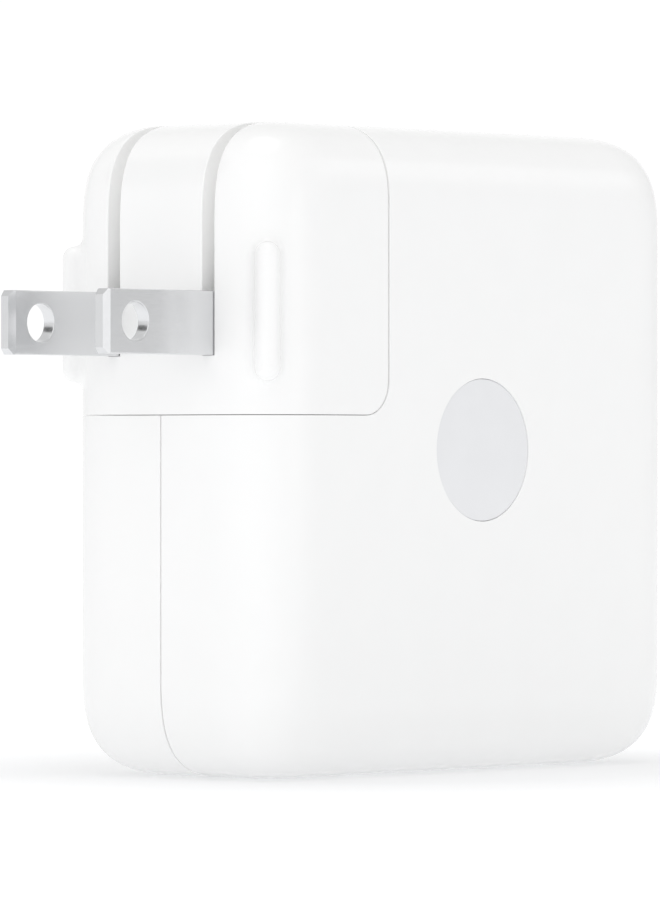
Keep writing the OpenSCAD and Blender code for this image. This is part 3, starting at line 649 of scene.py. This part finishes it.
def plug_casing_form(name):
    """Solid form of the plug module with its ribs and slots, without its hollow."""
    skin = Skin()
    lips = lip_steps(LIP)
    slot_level = SLOT_LOW - SLOT_FOOT_LIP
    levels = sorted([slot_level, *[RIB_Z + s * z for s in (-1, 1) for z in rib_levels()]])
    slot_end = slot_angle(SLOT_BACK + SLOT_LIP, 0)
    turn = sorted([*steps(0, pi / 2, CORNER_STEPS), slot_end])
    foot, side_x = NOTCH_Z + FOOT_GAP, NOTCH_X - SIDE_GAP
    columns = [left_column(foot + d, h) for d, h in reversed(lips)]
    first_level = len(columns)
    columns += [left_column(z) for z in levels]
    first_turn = len(columns)
    columns += [corner_column(-1, 1, a) for a in turn]
    columns += [top_column(side_x - d, h) for d, h in lips]
    slot_from = first_level + levels.index(slot_level)
    slot_to = first_turn + turn.index(slot_end)

    half_rows = [SLOT_IN - SLOT_LIP, HALF_T - EDGE, SLOT_OUT + SLOT_LIP]
    angles = steps(ROW_FROM, ROW_TO, ROW_STEPS)
    first_rib = len(half_rows) + len(angles)
    angles += [edge_angle(q) for q in rib_rows()]
    last_rib = len(half_rows) + len(angles) - 1
    angles += steps(edge_angle(RIB_REACH), pi / 2, FACE_STEPS)[1:]

    sides = {}
    for side in (-1, 1):
        rows = [level_row(side * y) for y in half_rows] + [curved_row(a, side) for a in angles]
        sides[side] = rows
        for j in range(len(rows) - 1):
            for i in range(len(columns) - 1):
                slot = j < len(half_rows) - 1 and slot_from <= i < slot_to
                rib = first_rib <= j < last_rib and first_level <= i < first_turn - 1
                if not slot and not rib:
                    near, far = rows[j], rows[j + 1]
                    skin.face([vertex(near, columns[i]), vertex(near, columns[i + 1]),
                               vertex(far, columns[i + 1]), vertex(far, columns[i])])
        rib_patch(skin, side, levels)
        slot_patch(skin, side, columns[slot_from + 1:slot_to])
        rim = [vertex(rows[-1], col) for col in columns[LIP_STEPS:-LIP_STEPS]]
        skin.face(rim + at_y(notch_path(-SIDE_GAP - LIP, -FOOT_GAP - LIP), side * HALF_T)[1:-1])
        skin.grid([at_y(notch_path(-SIDE_GAP - d, -FOOT_GAP - d), side * (HALF_T - h)) for d, h in lips])
    skin.grid([[vertex(sides[side][0], col) for col in columns] for side in (-1, 1)])

    # Bottom, bend and the open side towards the brick
    face_y = HALF_T - LIP
    all_rows = [*reversed(sides[-1]), *sides[1]]
    low = [vertex(row, columns[0]) for row in all_rows]
    right = [vertex(row, columns[-1]) for row in all_rows]
    skin.face(low + [(BEND_X, face_y, foot), (BEND_X, -face_y, foot)])
    skin.face(right + [(side_x, face_y, BEND_Z), (side_x, -face_y, BEND_Z)])
    skin.grid([at_y(bend_points(-SIDE_GAP, -FOOT_GAP), y) for y in (-face_y, face_y)])
    return skin.piece(name)


def plug_hollow():
    """Hollow inside the plug module, clear of the walls round its slots."""
    skin = Skin()
    floor = PLUG_Z + PLUG_FLOOR
    corner = [corner_column(-1, 1, a, WALL) for a in steps(0, pi / 2, HIDDEN_STEPS)]
    columns = [left_column(floor, WALL), *corner, top_column(PLUG_X + PAST, WALL)]
    loops = []
    for row in [*reversed(edge_rows(-1)), *edge_rows(1)]:
        rim = [vertex(row, col) for col in columns]
        loops.append([*rim, (PLUG_X + PAST, rim[0][1], floor)])
    skin.loft(loops)
    hollow = skin.piece("hollow")
    for side in (-1, 1):
        y = sorted((side * (SLOT_IN - POCKET_WALL), side * (SLOT_OUT + POCKET_WALL)))
        walls = rectangle((-HALF_W - PAST, y[0]), (SLOT_BACK + POCKET_WALL, y[1]))
        cut(hollow, prism("walls", 2, walls, [(POCKET_Z, 0), (TOP + PAST, 0)]))
    return hollow


def eight(radius):
    """Outline of the mains inlet: two round lobes joined by a bridge."""
    x, y = INLET_X, PIN_Y

    def outline(inset):
        r = radius - inset
        lobe = [(x + r * cos(a), y + r * sin(a)) for a in steps(-LOBE_BEND, pi + LOBE_BEND, END_STEPS)]
        return lobe + [(2 * x - u, -v) for u, v in lobe]

    return outline


def port_oval(grow):
    """Outline of the outlet port, in Y and Z."""
    y, z = PORT_T / 2 + grow, PORT_W / 2 + grow
    return rectangle((-y, MID_Z - z), (y, MID_Z + z), y, 12)


def box_outline(low, high, axis, radius=0.0):
    """Outline of a box between two corners, across an axis."""
    across = [i for i in range(3) if i != axis]
    return rectangle([low[i] for i in across], [high[i] for i in across], radius)


def rounded_box(name, low, high, axis, radius, lip):
    """Box with rounded edges, between two corners."""
    return prism(name, axis, box_outline(low, high, axis, radius), rounded(low[axis], high[axis], lip, lip))


# ---- materials ----

COLOURS = {m["slot"]: m["base_color"] for m in frame["record"]["materials"]}


class Finish:
    """A node material in the colour of one of the record's slots. Sizes are in millimetres."""

    def __init__(self, slot, **constants):
        self.material = bpy.data.materials.new(slot)
        self.material.use_nodes = True
        self.tree = self.material.node_tree
        self.shader = self.tree.nodes["Principled BSDF"]
        self.colour = COLOURS[slot]
        self.place = self.node("ShaderNodeTexCoord").outputs["Object"]
        for name, value in constants.items():
            self.shader.inputs[name.replace("_", " ")].default_value = value

    def node(self, kind, **links):
        """New node, with its numbered (i0, i1) or named inputs set or linked."""
        made = self.tree.nodes.new(kind)
        for name, value in links.items():
            key = {"i0": 0, "i1": 1}.get(name, name.replace("_", " "))
            if isinstance(value, bpy.types.NodeSocket):
                self.tree.links.new(value, made.inputs[key])
            else:
                made.inputs[key].default_value = value
        return made

    def math(self, operation, a, b=0.0):
        made = self.node("ShaderNodeMath", i0=a, i1=b)
        made.operation = operation
        return made.outputs[0]

    def scaled(self, stretch=(1, 1, 1)):
        """Place in millimetres, stretched along the axes."""
        scale = [1 / MM / s for s in stretch]
        return self.node("ShaderNodeMapping", Vector=self.place, Scale=scale).outputs[0]

    def axes(self):
        """X, Y and Z in millimetres."""
        return self.node("ShaderNodeSeparateXYZ", Vector=self.scaled()).outputs

    def noise(self, size, detail=2.0, stretch=(1, 1, 1)):
        made = self.node("ShaderNodeTexNoise", Vector=self.scaled(stretch), Scale=1 / size, Detail=detail)
        return made.outputs[0]

    def spread(self, value, low, high, source=(0.35, 0.65)):
        """Value from low to high, as the source runs over its own range."""
        made = self.node("ShaderNodeMapRange", Value=value, From_Min=source[0], From_Max=source[1],
                         To_Min=low, To_Max=high)
        return made.outputs[0]

    def tint(self, value, dark, light, other=None):
        """Colour between dark and light shares of the slot's colour, or from it to another colour."""
        ramp = self.node("ShaderNodeValToRGB", Fac=value)
        ends = ramp.color_ramp.elements
        ends[0].position, ends[1].position = 0.3, 0.7
        ends[0].color = [c * dark for c in self.colour] + [1]
        ends[1].color = [c * light for c in other or self.colour] + [1]
        self.tree.links.new(ramp.outputs[0], self.shader.inputs["Base Color"])

    def rough(self, value, low, high):
        self.tree.links.new(self.spread(value, low, high), self.shader.inputs["Roughness"])

    def bump(self, value, height):
        """Adds small relief of the given height."""
        made = self.node("ShaderNodeBump", Height=value, Distance=height * MM, Strength=1.0)
        before = self.shader.inputs["Normal"].links
        if before:
            self.tree.links.new(before[0].from_socket, made.inputs["Normal"])
        self.tree.links.new(made.outputs[0], self.shader.inputs["Normal"])


def plastic(slot, size, shares, rough, relief, **constants):
    """Moulded plastic: faint clouds of colour, a fine grain in its gloss and its surface."""
    made = Finish(slot, **constants)
    made.tint(made.noise(size * 12), *shares)
    made.rough(made.noise(size * 3, 3), *rough)
    made.bump(made.noise(size), relief)
    return made.material


def metal(slot, stretch, dark, rough, relief):
    """Rolled or brushed metal with its grain along the stretched axis."""
    made = Finish(slot, Metallic=1.0)
    grain = made.noise(0.12, 3, stretch)
    made.tint(made.noise(1.2, 3, stretch), dark, 1)
    made.rough(grain, *rough)
    made.bump(grain, relief)
    return made.material


def circuit_board():
    """Solder mask with the tracks under it showing lighter and a little raised."""
    made = Finish("circuit_board", IOR=1.55)
    cells = made.node("ShaderNodeTexVoronoi", Vector=made.scaled(), Scale=0.45, Randomness=0.55)
    cells.feature = "DISTANCE_TO_EDGE"
    track = made.spread(cells.outputs[0], 0.7, 0.3, (0.06, 0.1))
    made.tint(track, 0.75, 1.5)
    made.rough(made.noise(0.8, 3), 0.28, 0.42)
    made.bump(track, 0.03)
    return made.material


def copper_wire():
    """Turns of enamelled wire round a ring whose axis is Y: bands by their angle about it."""
    made = Finish("copper_wire", Metallic=1.0, Coat_Weight=0.6)
    low, high = box_of("input_choke_core")
    centre = (low + high) / 2
    axes = made.axes()
    x = made.math("SUBTRACT", axes[0], centre.x)
    z = made.math("SUBTRACT", axes[2], centre.z)
    turn = made.math("SINE", made.math("MULTIPLY", made.math("ARCTAN2", z, x), CHOKE_TURNS))
    bands = made.spread(turn, 0.3, 0.7, (-1, 1))
    made.tint(bands, 0.35, 1)
    made.rough(made.noise(0.5), 0.2, 0.32)
    made.bump(bands, 0.4)
    return made.material


def coil_tape():
    """Layers of tape round an upright coil, with the wire's turns showing through faintly."""
    made = Finish("coil_tape", IOR=1.5, Coat_Weight=0.4)
    axes = made.axes()
    turns = made.math("SINE", made.math("MULTIPLY", axes[2], 2 * pi / TAPE_TURN))
    bands = made.spread(turns, 0.35, 0.65, (-1, 1))
    made.tint(made.math("MULTIPLY", made.math("ADD", bands, made.noise(3)), 0.5), 0.75, 1)
    made.rough(made.noise(1.5), 0.2, 0.35)
    made.bump(bands, 0.05)
    return made.material


def can_sleeve():
    """Shrink sleeve of a can that lies along X, with a pale stripe on one side."""
    made = Finish("can_sleeve", IOR=1.5)
    low, high = box_of("bulk_capacitor")
    axes = made.axes()
    off = made.math("ABSOLUTE", made.math("SUBTRACT", axes[2], (low.z + high.z) / 2))
    front = made.math("LESS_THAN", axes[1], (low.y + high.y) / 2)
    stripe = made.math("MULTIPLY", made.math("LESS_THAN", off, STRIPE_HALF), front)
    made.tint(stripe, 1, 1, other=STRIPE_COLOUR)
    made.rough(made.noise(2, 3), 0.22, 0.34)
    made.bump(made.noise(1.6), 0.02)
    return made.material


def fibre_sheet():
    """Pressed fibre sheet: crossed threads in its colour and surface."""
    made = Finish("insulating_sheet")
    along, across = made.noise(0.15, 2, (8, 1, 1)), made.noise(0.15, 2, (1, 1, 8))
    threads = made.math("MULTIPLY", made.math("ADD", along, across), 0.5)
    made.tint(threads, 0.88, 1)
    made.rough(threads, 0.6, 0.8)
    made.bump(threads, 0.02)
    return made.material


def thermal_pad():
    """Soft silicone with its filler showing as specks."""
    made = Finish("thermal_pad", Sheen_Weight=0.2)
    specks = made.node("ShaderNodeTexVoronoi", Vector=made.scaled(), Scale=2.5).outputs[0]
    made.tint(specks, 0.85, 1.05)
    made.rough(made.noise(1.0), 0.6, 0.75)
    made.bump(made.noise(0.8, 3), 0.05)
    return made.material


MATERIALS = {
    "shell_white": plastic("shell_white", 0.4, (1.012, 1.02), (0.16, 0.24), 0.0008, IOR=1.5),
    "badge_grey": plastic("badge_grey", 0.4, (1.05, 1.07), (0.08, 0.14), 0.0005, IOR=1.5, Coat_Weight=0.3),
    "inner_white": plastic("inner_white", 0.15, (0.96, 1), (0.42, 0.58), 0.006, IOR=1.5),
    "black_moulding": plastic("black_moulding", 0.12, (0.7, 1), (0.4, 0.6), 0.01, IOR=1.55),
    "film_yellow": plastic("film_yellow", 0.5, (0.85, 1), (0.25, 0.4), 0.01, IOR=1.5),
    "disc_green": plastic("disc_green", 0.8, (0.7, 1), (0.3, 0.5), 0.06, IOR=1.5),
    "disc_blue": plastic("disc_blue", 0.8, (0.8, 1), (0.15, 0.3), 0.05, IOR=1.5, Coat_Weight=0.5),
    "ferrite": plastic("ferrite", 0.1, (0.55, 1), (0.38, 0.55), 0.008, IOR=1.9),
    "nickel_plate": metal("nickel_plate", (14, 1, 1), 0.975, (0.2, 0.26), 0.0004),
    "spring_steel": metal("spring_steel", (1, 14, 1), 0.9, (0.26, 0.38), 0.002),
    "gilt_bronze": metal("gilt_bronze", (1, 1, 10), 0.9, (0.22, 0.34), 0.0015),
    "aluminium": metal("aluminium", (1, 1, 16), 0.92, (0.3, 0.45), 0.003),
    "tinned_wire": metal("tinned_wire", (1, 8, 1), 0.85, (0.25, 0.4), 0.01),
    "circuit_board": circuit_board(),
    "copper_wire": copper_wire(),
    "coil_tape": coil_tape(),
    "can_sleeve": can_sleeve(),
    "insulating_sheet": fibre_sheet(),
    "thermal_pad": thermal_pad(),
}
SLOTS = {part["node"]: part["material_slot"] for part in frame["record"]["subparts"]}


def finish(piece, body, *nodes):
    """Ends a piece: it rides on its body, and stands for its nodes in their own material."""
    slot = SLOTS[nodes[0]]
    piece.data.materials.clear()
    piece.data.materials.append(MATERIALS[slot])
    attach(piece, body)
    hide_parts(*nodes)


def finish_nodes():
    """The CAD nodes that stay visible take their slot's material."""
    for name, node in frame["nodes"].items():
        node.data.materials.clear()
        node.data.materials.append(MATERIALS[SLOTS[name]])


def map_range(tree, from_min, from_max, to_min, to_max):
    """Node that turns one range of values into another."""
    node = tree.nodes.new("ShaderNodeMapRange")
    node.inputs["From Min"].default_value = from_min
    node.inputs["From Max"].default_value = from_max
    node.inputs["To Min"].default_value = to_min
    node.inputs["To Max"].default_value = to_max
    return node


def floor_painted_shadow():
    """Pale floor that glows bright enough to melt into its surroundings, with a painted contact shadow: it glows
    less near the object, which also dims the light it throws up onto the object's underside.
    """
    material = bpy.data.materials.new("floor_painted_shadow")
    material.use_nodes = True
    tree = material.node_tree
    shader = tree.nodes["Principled BSDF"]
    shader.inputs["Base Color"].default_value = (FLOOR_WHITE, FLOOR_WHITE, FLOOR_WHITE, 1)
    shader.inputs["Roughness"].default_value = FLOOR_ROUGH
    shader.inputs["Emission Color"].default_value = (*FLOOR_TINT, 1)
    reach = tree.nodes.new("ShaderNodeVectorMath")
    reach.operation = "LENGTH"
    tree.links.new(tree.nodes.new("ShaderNodeTexCoord").outputs["Object"], reach.inputs[0])
    # Painted contact shadow: the glow drops from its far value to a lower one towards the object's middle
    glow = map_range(tree, FLOOR_NEAR * MM, FLOOR_FAR * MM, FLOOR_PAINTED_SHADOW_GLOW, FLOOR_FAR_GLOW)
    tree.links.new(reach.outputs["Value"], glow.inputs["Value"])
    tree.links.new(glow.outputs[0], shader.inputs["Emission Strength"])
    return material


# ---- casing ----


def make_casing():
    neck = rectangle((INLET_X - NECK_X - FIT, -NECK_Y - FIT), (INLET_X + NECK_X + FIT, NECK_Y + FIT))
    for name, side in (("front_casing", -1), ("back_casing", 1)):
        piece = half_casing(name, side)
        cut(piece, brick_hollow(side))
        cut(piece, prism("inlet", 2, neck, [(NOTCH_Z - WALL - PAST, 0), (NOTCH_Z + PAST, 0)]))
        stud_hole = circle(0, STUD_Z, STUD_NECK_R + FIT)
        cut(piece, prism("stud", 0, stud_hole, [(NOTCH_X - PAST, 0), (NOTCH_X + WALL + PAST, 0)]))
        cut(piece, prism("port", 0, port_oval(FIT), mouth(HALF_W - WALL - PAST, HALF_W, PORT_LIP)))
        if side < 0:
            pocket = mouth(badge_high.y, -HALF_T, BADGE_LIP)
            cut(piece, prism("badge", 1, circle(0, MID_Z, BADGE_R + FIT, BADGE_SIDES), pocket))
            finish(smooth(piece), "brick", "front_shell")
        else:
            join(piece, locating_lip())
            finish(smooth(piece), "brick", "back_shell")


def make_badge():
    low, high = box_of("badge_inlay")
    profile = rounded(low.y, high.y, BADGE_LIP, BADGE_BACK_LIP)
    disc = prism("round_badge", 1, circle(0, MID_Z, BADGE_R, BADGE_SIDES), profile)
    finish(smooth(disc), "brick", "badge_inlay")


# ---- inlet, stud and port of the brick ----


def make_inlet():
    low, high = box_of("inlet_housing")
    under_wall = (high.x, high.y, NOTCH_Z - WALL - FIT)
    body = rounded_box("inlet_block", low, under_wall, 2, INLET_CORNER, INLET_LIP)
    neck = rectangle((INLET_X - NECK_X, -NECK_Y), (INLET_X + NECK_X, NECK_Y), INLET_LIP)
    join(body, prism("neck", 2, neck, rounded(NOTCH_Z - 2 * WALL, NOTCH_Z, 0, NECK_LIP)))
    recess = mouth(NOTCH_Z - RECESS_DEPTH, NOTCH_Z, RECESS_LIP)
    cut(body, prism("recess", 2, eight(LOBE_R), recess))
    for side in (-1, 1):
        hole = circle(INLET_X, side * PIN_Y, PIN_R + FIT)
        cut(body, prism("hole", 2, hole, [(low.z - PAST, 0), (NOTCH_Z - RECESS_DEPTH + PAST, 0)]))
    finish(smooth(body), "brick", "inlet_housing")


def make_pins():
    for node in ("inlet_pin_line", "inlet_pin_neutral"):
        low, high = box_of(node)
        dome = [(high.z - PIN_R * (1 - cos(a)), PIN_R * (1 - sin(a))) for a in steps(pi / 2, 0, RIM_STEPS)]
        outline = circle(INLET_X, (low.y + high.y) / 2, PIN_R, SMALL_SIDES)
        profile = [(low.z, PIN_LIP), (low.z + PIN_LIP, 0), *dome]
        pin = prism(node.replace("inlet_", "") + "_rod", 2, outline, profile)
        finish(smooth(pin), "brick", node)


def make_stud():
    low, high = box_of("retaining_stud")
    neck_in, rivet_in = STUD_HEAD_R - STUD_NECK_R, STUD_HEAD_R - STUD_RIVET_R
    wall_x = NOTCH_X + WALL + FIT
    head = rounded(low.x, low.x + STUD_HEAD_T, STUD_LIP, STUD_LIP / 2)
    neck = [(low.x + STUD_HEAD_T, neck_in), (wall_x, neck_in)]
    rivet = [(wall_x, rivet_in), (high.x - STUD_LIP, rivet_in), (high.x, rivet_in + STUD_LIP)]
    stud = prism("stud", 0, circle(0, STUD_Z, STUD_HEAD_R, STUD_SIDES), head + neck + rivet)
    finish(smooth(stud), "brick", "retaining_stud")


def make_port():
    low, high = box_of("usb_c_shell")
    lip = PORT_SKIN / 2
    rim = [(high.x - lip * (1 - sin(a)), lip * (1 - cos(a))) for a in steps(0, pi, RIM_STEPS)]
    section = [(low.x, 0), *rim, (low.x, PORT_SKIN)]
    shell = prism("port_shell", 0, port_oval(0), section, ring=True)
    finish(smooth(shell), "brick", "usb_c_shell")
    low, high = box_of("usb_c_tongue")
    tongue = rounded_box("port_tongue", low, high, 0, TONGUE_CORNER, TONGUE_LIP)
    finish(smooth(tongue), "brick", "usb_c_tongue")
    low, high = box_of("usb_c_contacts")
    strips = []
    width = (high.z - low.z) - (CONTACTS - 1) * CONTACT_PITCH
    for y in (low.y, high.y - CONTACT_T):
        for i in range(CONTACTS):
            z = low.z + i * CONTACT_PITCH
            corners = (low.x, y, z), (high.x, y + CONTACT_T, z + width)
            strips.append(rounded_box("strip", *corners, 0, CONTACT_LIP, CONTACT_LIP))
    contacts = merged("port_contacts", strips)
    finish(smooth(contacts), "brick", "usb_c_contacts")


# ---- plug module ----


def make_plug():
    piece = plug_casing_form("plug_casing")
    cut(piece, plug_hollow())
    barrel = circle(PIVOT_X, BLADE_Z, BARREL_R + SLACK, SMALL_SIDES)
    cut(piece, prism("barrel", 1, barrel, [(-BARREL_END - SLACK, 0), (BARREL_END + SLACK, 0)]))
    channel = rectangle((CHANNEL_X - FIT, -CHANNEL_SIDE - FIT), (PLUG_X + PAST, CHANNEL_SIDE + FIT))
    for outline in (eight(NOSE_R + FIT), channel):
        cut(piece, prism("opening", 2, outline, [(PLUG_Z - PAST, 0), (PLUG_Z + PLUG_FLOOR + PAST, 0)]))
    finish(smooth(piece), "plug_module", "plug_shell")


def keyhole(half):
    """Outline in Y and Z of a channel that runs up from the module's foot to a round end at the stud."""

    def outline(inset):
        arc = [(half * cos(a), STUD_Z + half * sin(a)) for a in steps(0, pi, END_STEPS)]
        return [(half, PLUG_Z - PAST), *arc, (-half, PLUG_Z - PAST)]

    return outline


def make_cover():
    """Cover in the module's mouth, with the channel and the keyhole for the stud."""
    skin = Skin()
    plate_x = PLUG_X - COVER_T
    base = PLUG_Z + PLUG_FLOOR + FIT
    loops = []
    for row in [*reversed(edge_rows(-1)), *edge_rows(1)]:
        _, y, z = vertex(row, top_column(PLUG_X, WALL + FIT))
        loops.append([(plate_x, y, base), (PLUG_X, y, base), (PLUG_X, y, z), (plate_x, y, z)])
    skin.loft(loops)
    cover = skin.piece("module_cover")
    low, high = (CHANNEL_X, -CHANNEL_SIDE, PLUG_Z), (PLUG_X, CHANNEL_SIDE, STUD_Z + CHANNEL_SIDE)
    join(cover, rounded_box("channel", low, high, 0, CHANNEL_CORNER, CHANNEL_LIP))

    # Round off the corner that lies in the notch's bend
    far_x, far_z = PLUG_X + PAST, PLUG_Z - PAST
    beyond = [(far_x, BEND_Z), *bend_points(-SEAM), (BEND_X, far_z), (far_x, far_z)]
    cut(cover, prism("corner", 1, lambda inset: beyond, [(-HALF_T, 0), (HALF_T, 0)]))

    cut(cover, prism("channel", 0, keyhole(CHANNEL_R), [(CHANNEL_X + CHANNEL_WALL, 0), (plate_x, 0)]))
    neck = keyhole(STUD_NECK_R + SLACK)
    cut(cover, prism("neck", 0, neck, [(plate_x - PAST, 0), (PLUG_X + PAST, 0)]))
    finish(smooth(cover), "plug_module", "plug_inner_cover")


def make_nose():
    low, high = box_of("socket_block")
    floor = PLUG_Z + PLUG_FLOOR
    nose = prism("socket_nose", 2, eight(NOSE_R), rounded(low.z, floor + PAST, NOSE_ROUND, 0))
    flange = rectangle((low.x, low.y), (high.x, high.y), FLANGE_CORNER)
    join(nose, prism("flange", 2, flange, rounded(floor + FIT, high.z, FLANGE_LOW_LIP, FLANGE_HIGH_LIP)))
    for side in (-1, 1):
        opening = circle(INLET_X, side * PIN_Y, SOCKET_MOUTH_R, SMALL_SIDES)
        cut(nose, prism("mouth", 2, opening, mouth(low.z + NOSE_LIP, low.z, MOUTH_ROUND)))
        bore = circle(INLET_X, side * PIN_Y, SLEEVE_R + FIT, SMALL_SIDES)
        cut(nose, prism("bore", 2, bore, [(low.z + NOSE_LIP - FIT, 0), (high.z + PAST, 0)]))
    finish(smooth(nose), "plug_module", "socket_block")


# ---- blades ----


def blade_outline(inset):
    """Outline of a blade in X and Z: cut corners at the tip, and a round hub."""
    tip, half = blade_low.x + inset, BLADE_HALF - inset
    corner = TIP_CORNER - inset * (2 - sqrt(2))
    hub = [(PIVOT_X + half * sin(a), BLADE_Z - half * cos(a)) for a in steps(0, pi, HUB_STEPS)]
    upper = [(tip + corner, BLADE_Z + half), (tip, BLADE_Z + half - corner)]
    lower = [(tip, BLADE_Z - half + corner), (tip + corner, BLADE_Z - half)]
    return hub + upper + lower


def tip_bevel(y, out):
    """Wedge that bevels one flat side of a blade's tip."""
    reach = TIP_BEVEL_Y / TIP_BEVEL_X * PAST
    back_x = blade_low.x + TIP_BEVEL_X
    corners = [(blade_low.x - PAST, y - out * (TIP_BEVEL_Y + reach)), (back_x, y)]
    corners += [(back_x, y + out * PAST), (blade_low.x - PAST, y + out * PAST)]
    ends = [(BLADE_Z - BLADE_HALF - PAST, 0), (BLADE_Z + BLADE_HALF + PAST, 0)]
    return prism("bevel", 2, lambda inset: corners, ends)


def make_blades():
    for node in ("blade_front", "blade_back"):
        low, high = box_of(node)
        blade = prism(node + "_plate", 1, blade_outline, rounded(low.y, high.y, BLADE_LIP, BLADE_LIP, 6))
        cut(blade, tip_bevel(low.y, -1), tip_bevel(high.y, 1))
        hole = circle(BLADE_HOLE_X, BLADE_Z, BLADE_HOLE_R)
        rim = [(-place, inset) for place, inset in mouth(0, BLADE_T / 2, HOLE_LIP)][::-1]
        rim += mouth(0, BLADE_T / 2, HOLE_LIP)
        profile = [((low.y + high.y) / 2 + place, inset) for place, inset in rim]
        cut(blade, prism("hole", 1, hole, profile))
        axle = circle(PIVOT_X, BLADE_Z, AXLE_R + FIT, SMALL_SIDES)
        cut(blade, prism("axle", 1, axle, [(low.y - PAST, 0), (high.y + PAST, 0)]))
        finish(smooth(blade, BLADE_SHARP), "blades", node)


# ---- camera and studio ----


def make_camera():
    """Camera of the picture: level with the middle of the brick, looking at its plug corner."""
    data = bpy.data.cameras.new("camera")
    data.lens = VIEW_LENS
    data.sensor_width = VIEW_SENSOR
    data.clip_start = VIEW_NEAR
    data.clip_end = VIEW_FAR
    camera = in_scene("camera", data)
    bpy.context.scene.camera = camera
    ahead = Vector((sin(VIEW_AZIMUTH), cos(VIEW_AZIMUTH), 0))
    aside = Vector((cos(VIEW_AZIMUTH), -sin(VIEW_AZIMUTH), 0))
    camera.location = (-ahead * VIEW_DISTANCE - aside * VIEW_ASIDE + Vector((0, 0, MID_Z))) * MM
    camera.rotation_mode = "QUATERNION"
    camera.rotation_quaternion = ahead.to_track_quat("-Z", "Y")


def make_floor():
    bm = bmesh.new()
    bmesh.ops.create_circle(bm, cap_ends=True, segments=FLOOR_SIDES, radius=FLOOR_R * MM)
    floor = piece_from(bm, "floor")
    floor.location.z = -FLOOR_DROP * MM
    floor.data.materials.append(floor_painted_shadow())


def make_surroundings():
    """Even white surroundings, with brighter and darker parts that the gloss reflects."""
    world = bpy.data.worlds.new("studio")
    bpy.context.scene.world = world
    world.use_nodes = True
    tree = world.node_tree
    around = tree.nodes.new("ShaderNodeTexCoord").outputs["Generated"]
    strength = None
    for direction, more, start, full in WORLD_PATCHES:
        towards = tree.nodes.new("ShaderNodeVectorMath")
        towards.operation = "DOT_PRODUCT"
        towards.inputs[1].default_value = direction
        tree.links.new(around, towards.inputs[0])
        patch = map_range(tree, start, full, 0, more)
        tree.links.new(towards.outputs["Value"], patch.inputs["Value"])
        total = tree.nodes.new("ShaderNodeMath")
        total.inputs[1].default_value = WORLD_LIGHT
        tree.links.new(patch.outputs[0], total.inputs[0])
        if strength:
            tree.links.new(strength, total.inputs[1])
        strength = total.outputs[0]
    background = tree.nodes["Background"]
    background.inputs["Color"].default_value = (1, 1, 1, 1)
    tree.links.new(strength, background.inputs["Strength"])


def make_lights():
    """Large soft discs of light, aimed at the middle of the brick."""
    middle = Vector((0, 0, MID_Z)) * MM
    for name, place, size, power in LIGHTS:
        data = bpy.data.lights.new(name, "AREA")
        data.shape = "DISK"
        data.size = size * MM
        data.energy = power
        light = in_scene(name, data)
        light.location = Vector(place) * MM
        light.rotation_mode = "QUATERNION"
        light.rotation_quaternion = (middle - light.location).to_track_quat("-Z", "Y")


def make_studio():
    make_floor()
    make_surroundings()
    make_lights()
    scene = bpy.context.scene
    scene.view_settings.view_transform = "Standard"
    scene.cycles.max_bounces = LIGHT_BOUNCES
    scene.cycles.diffuse_bounces = LIGHT_BOUNCES


make_camera()
make_casing()
make_badge()
make_inlet()
make_pins()
make_stud()
make_port()
make_plug()
make_cover()
make_nose()
make_blades()
finish_nodes()
make_studio()
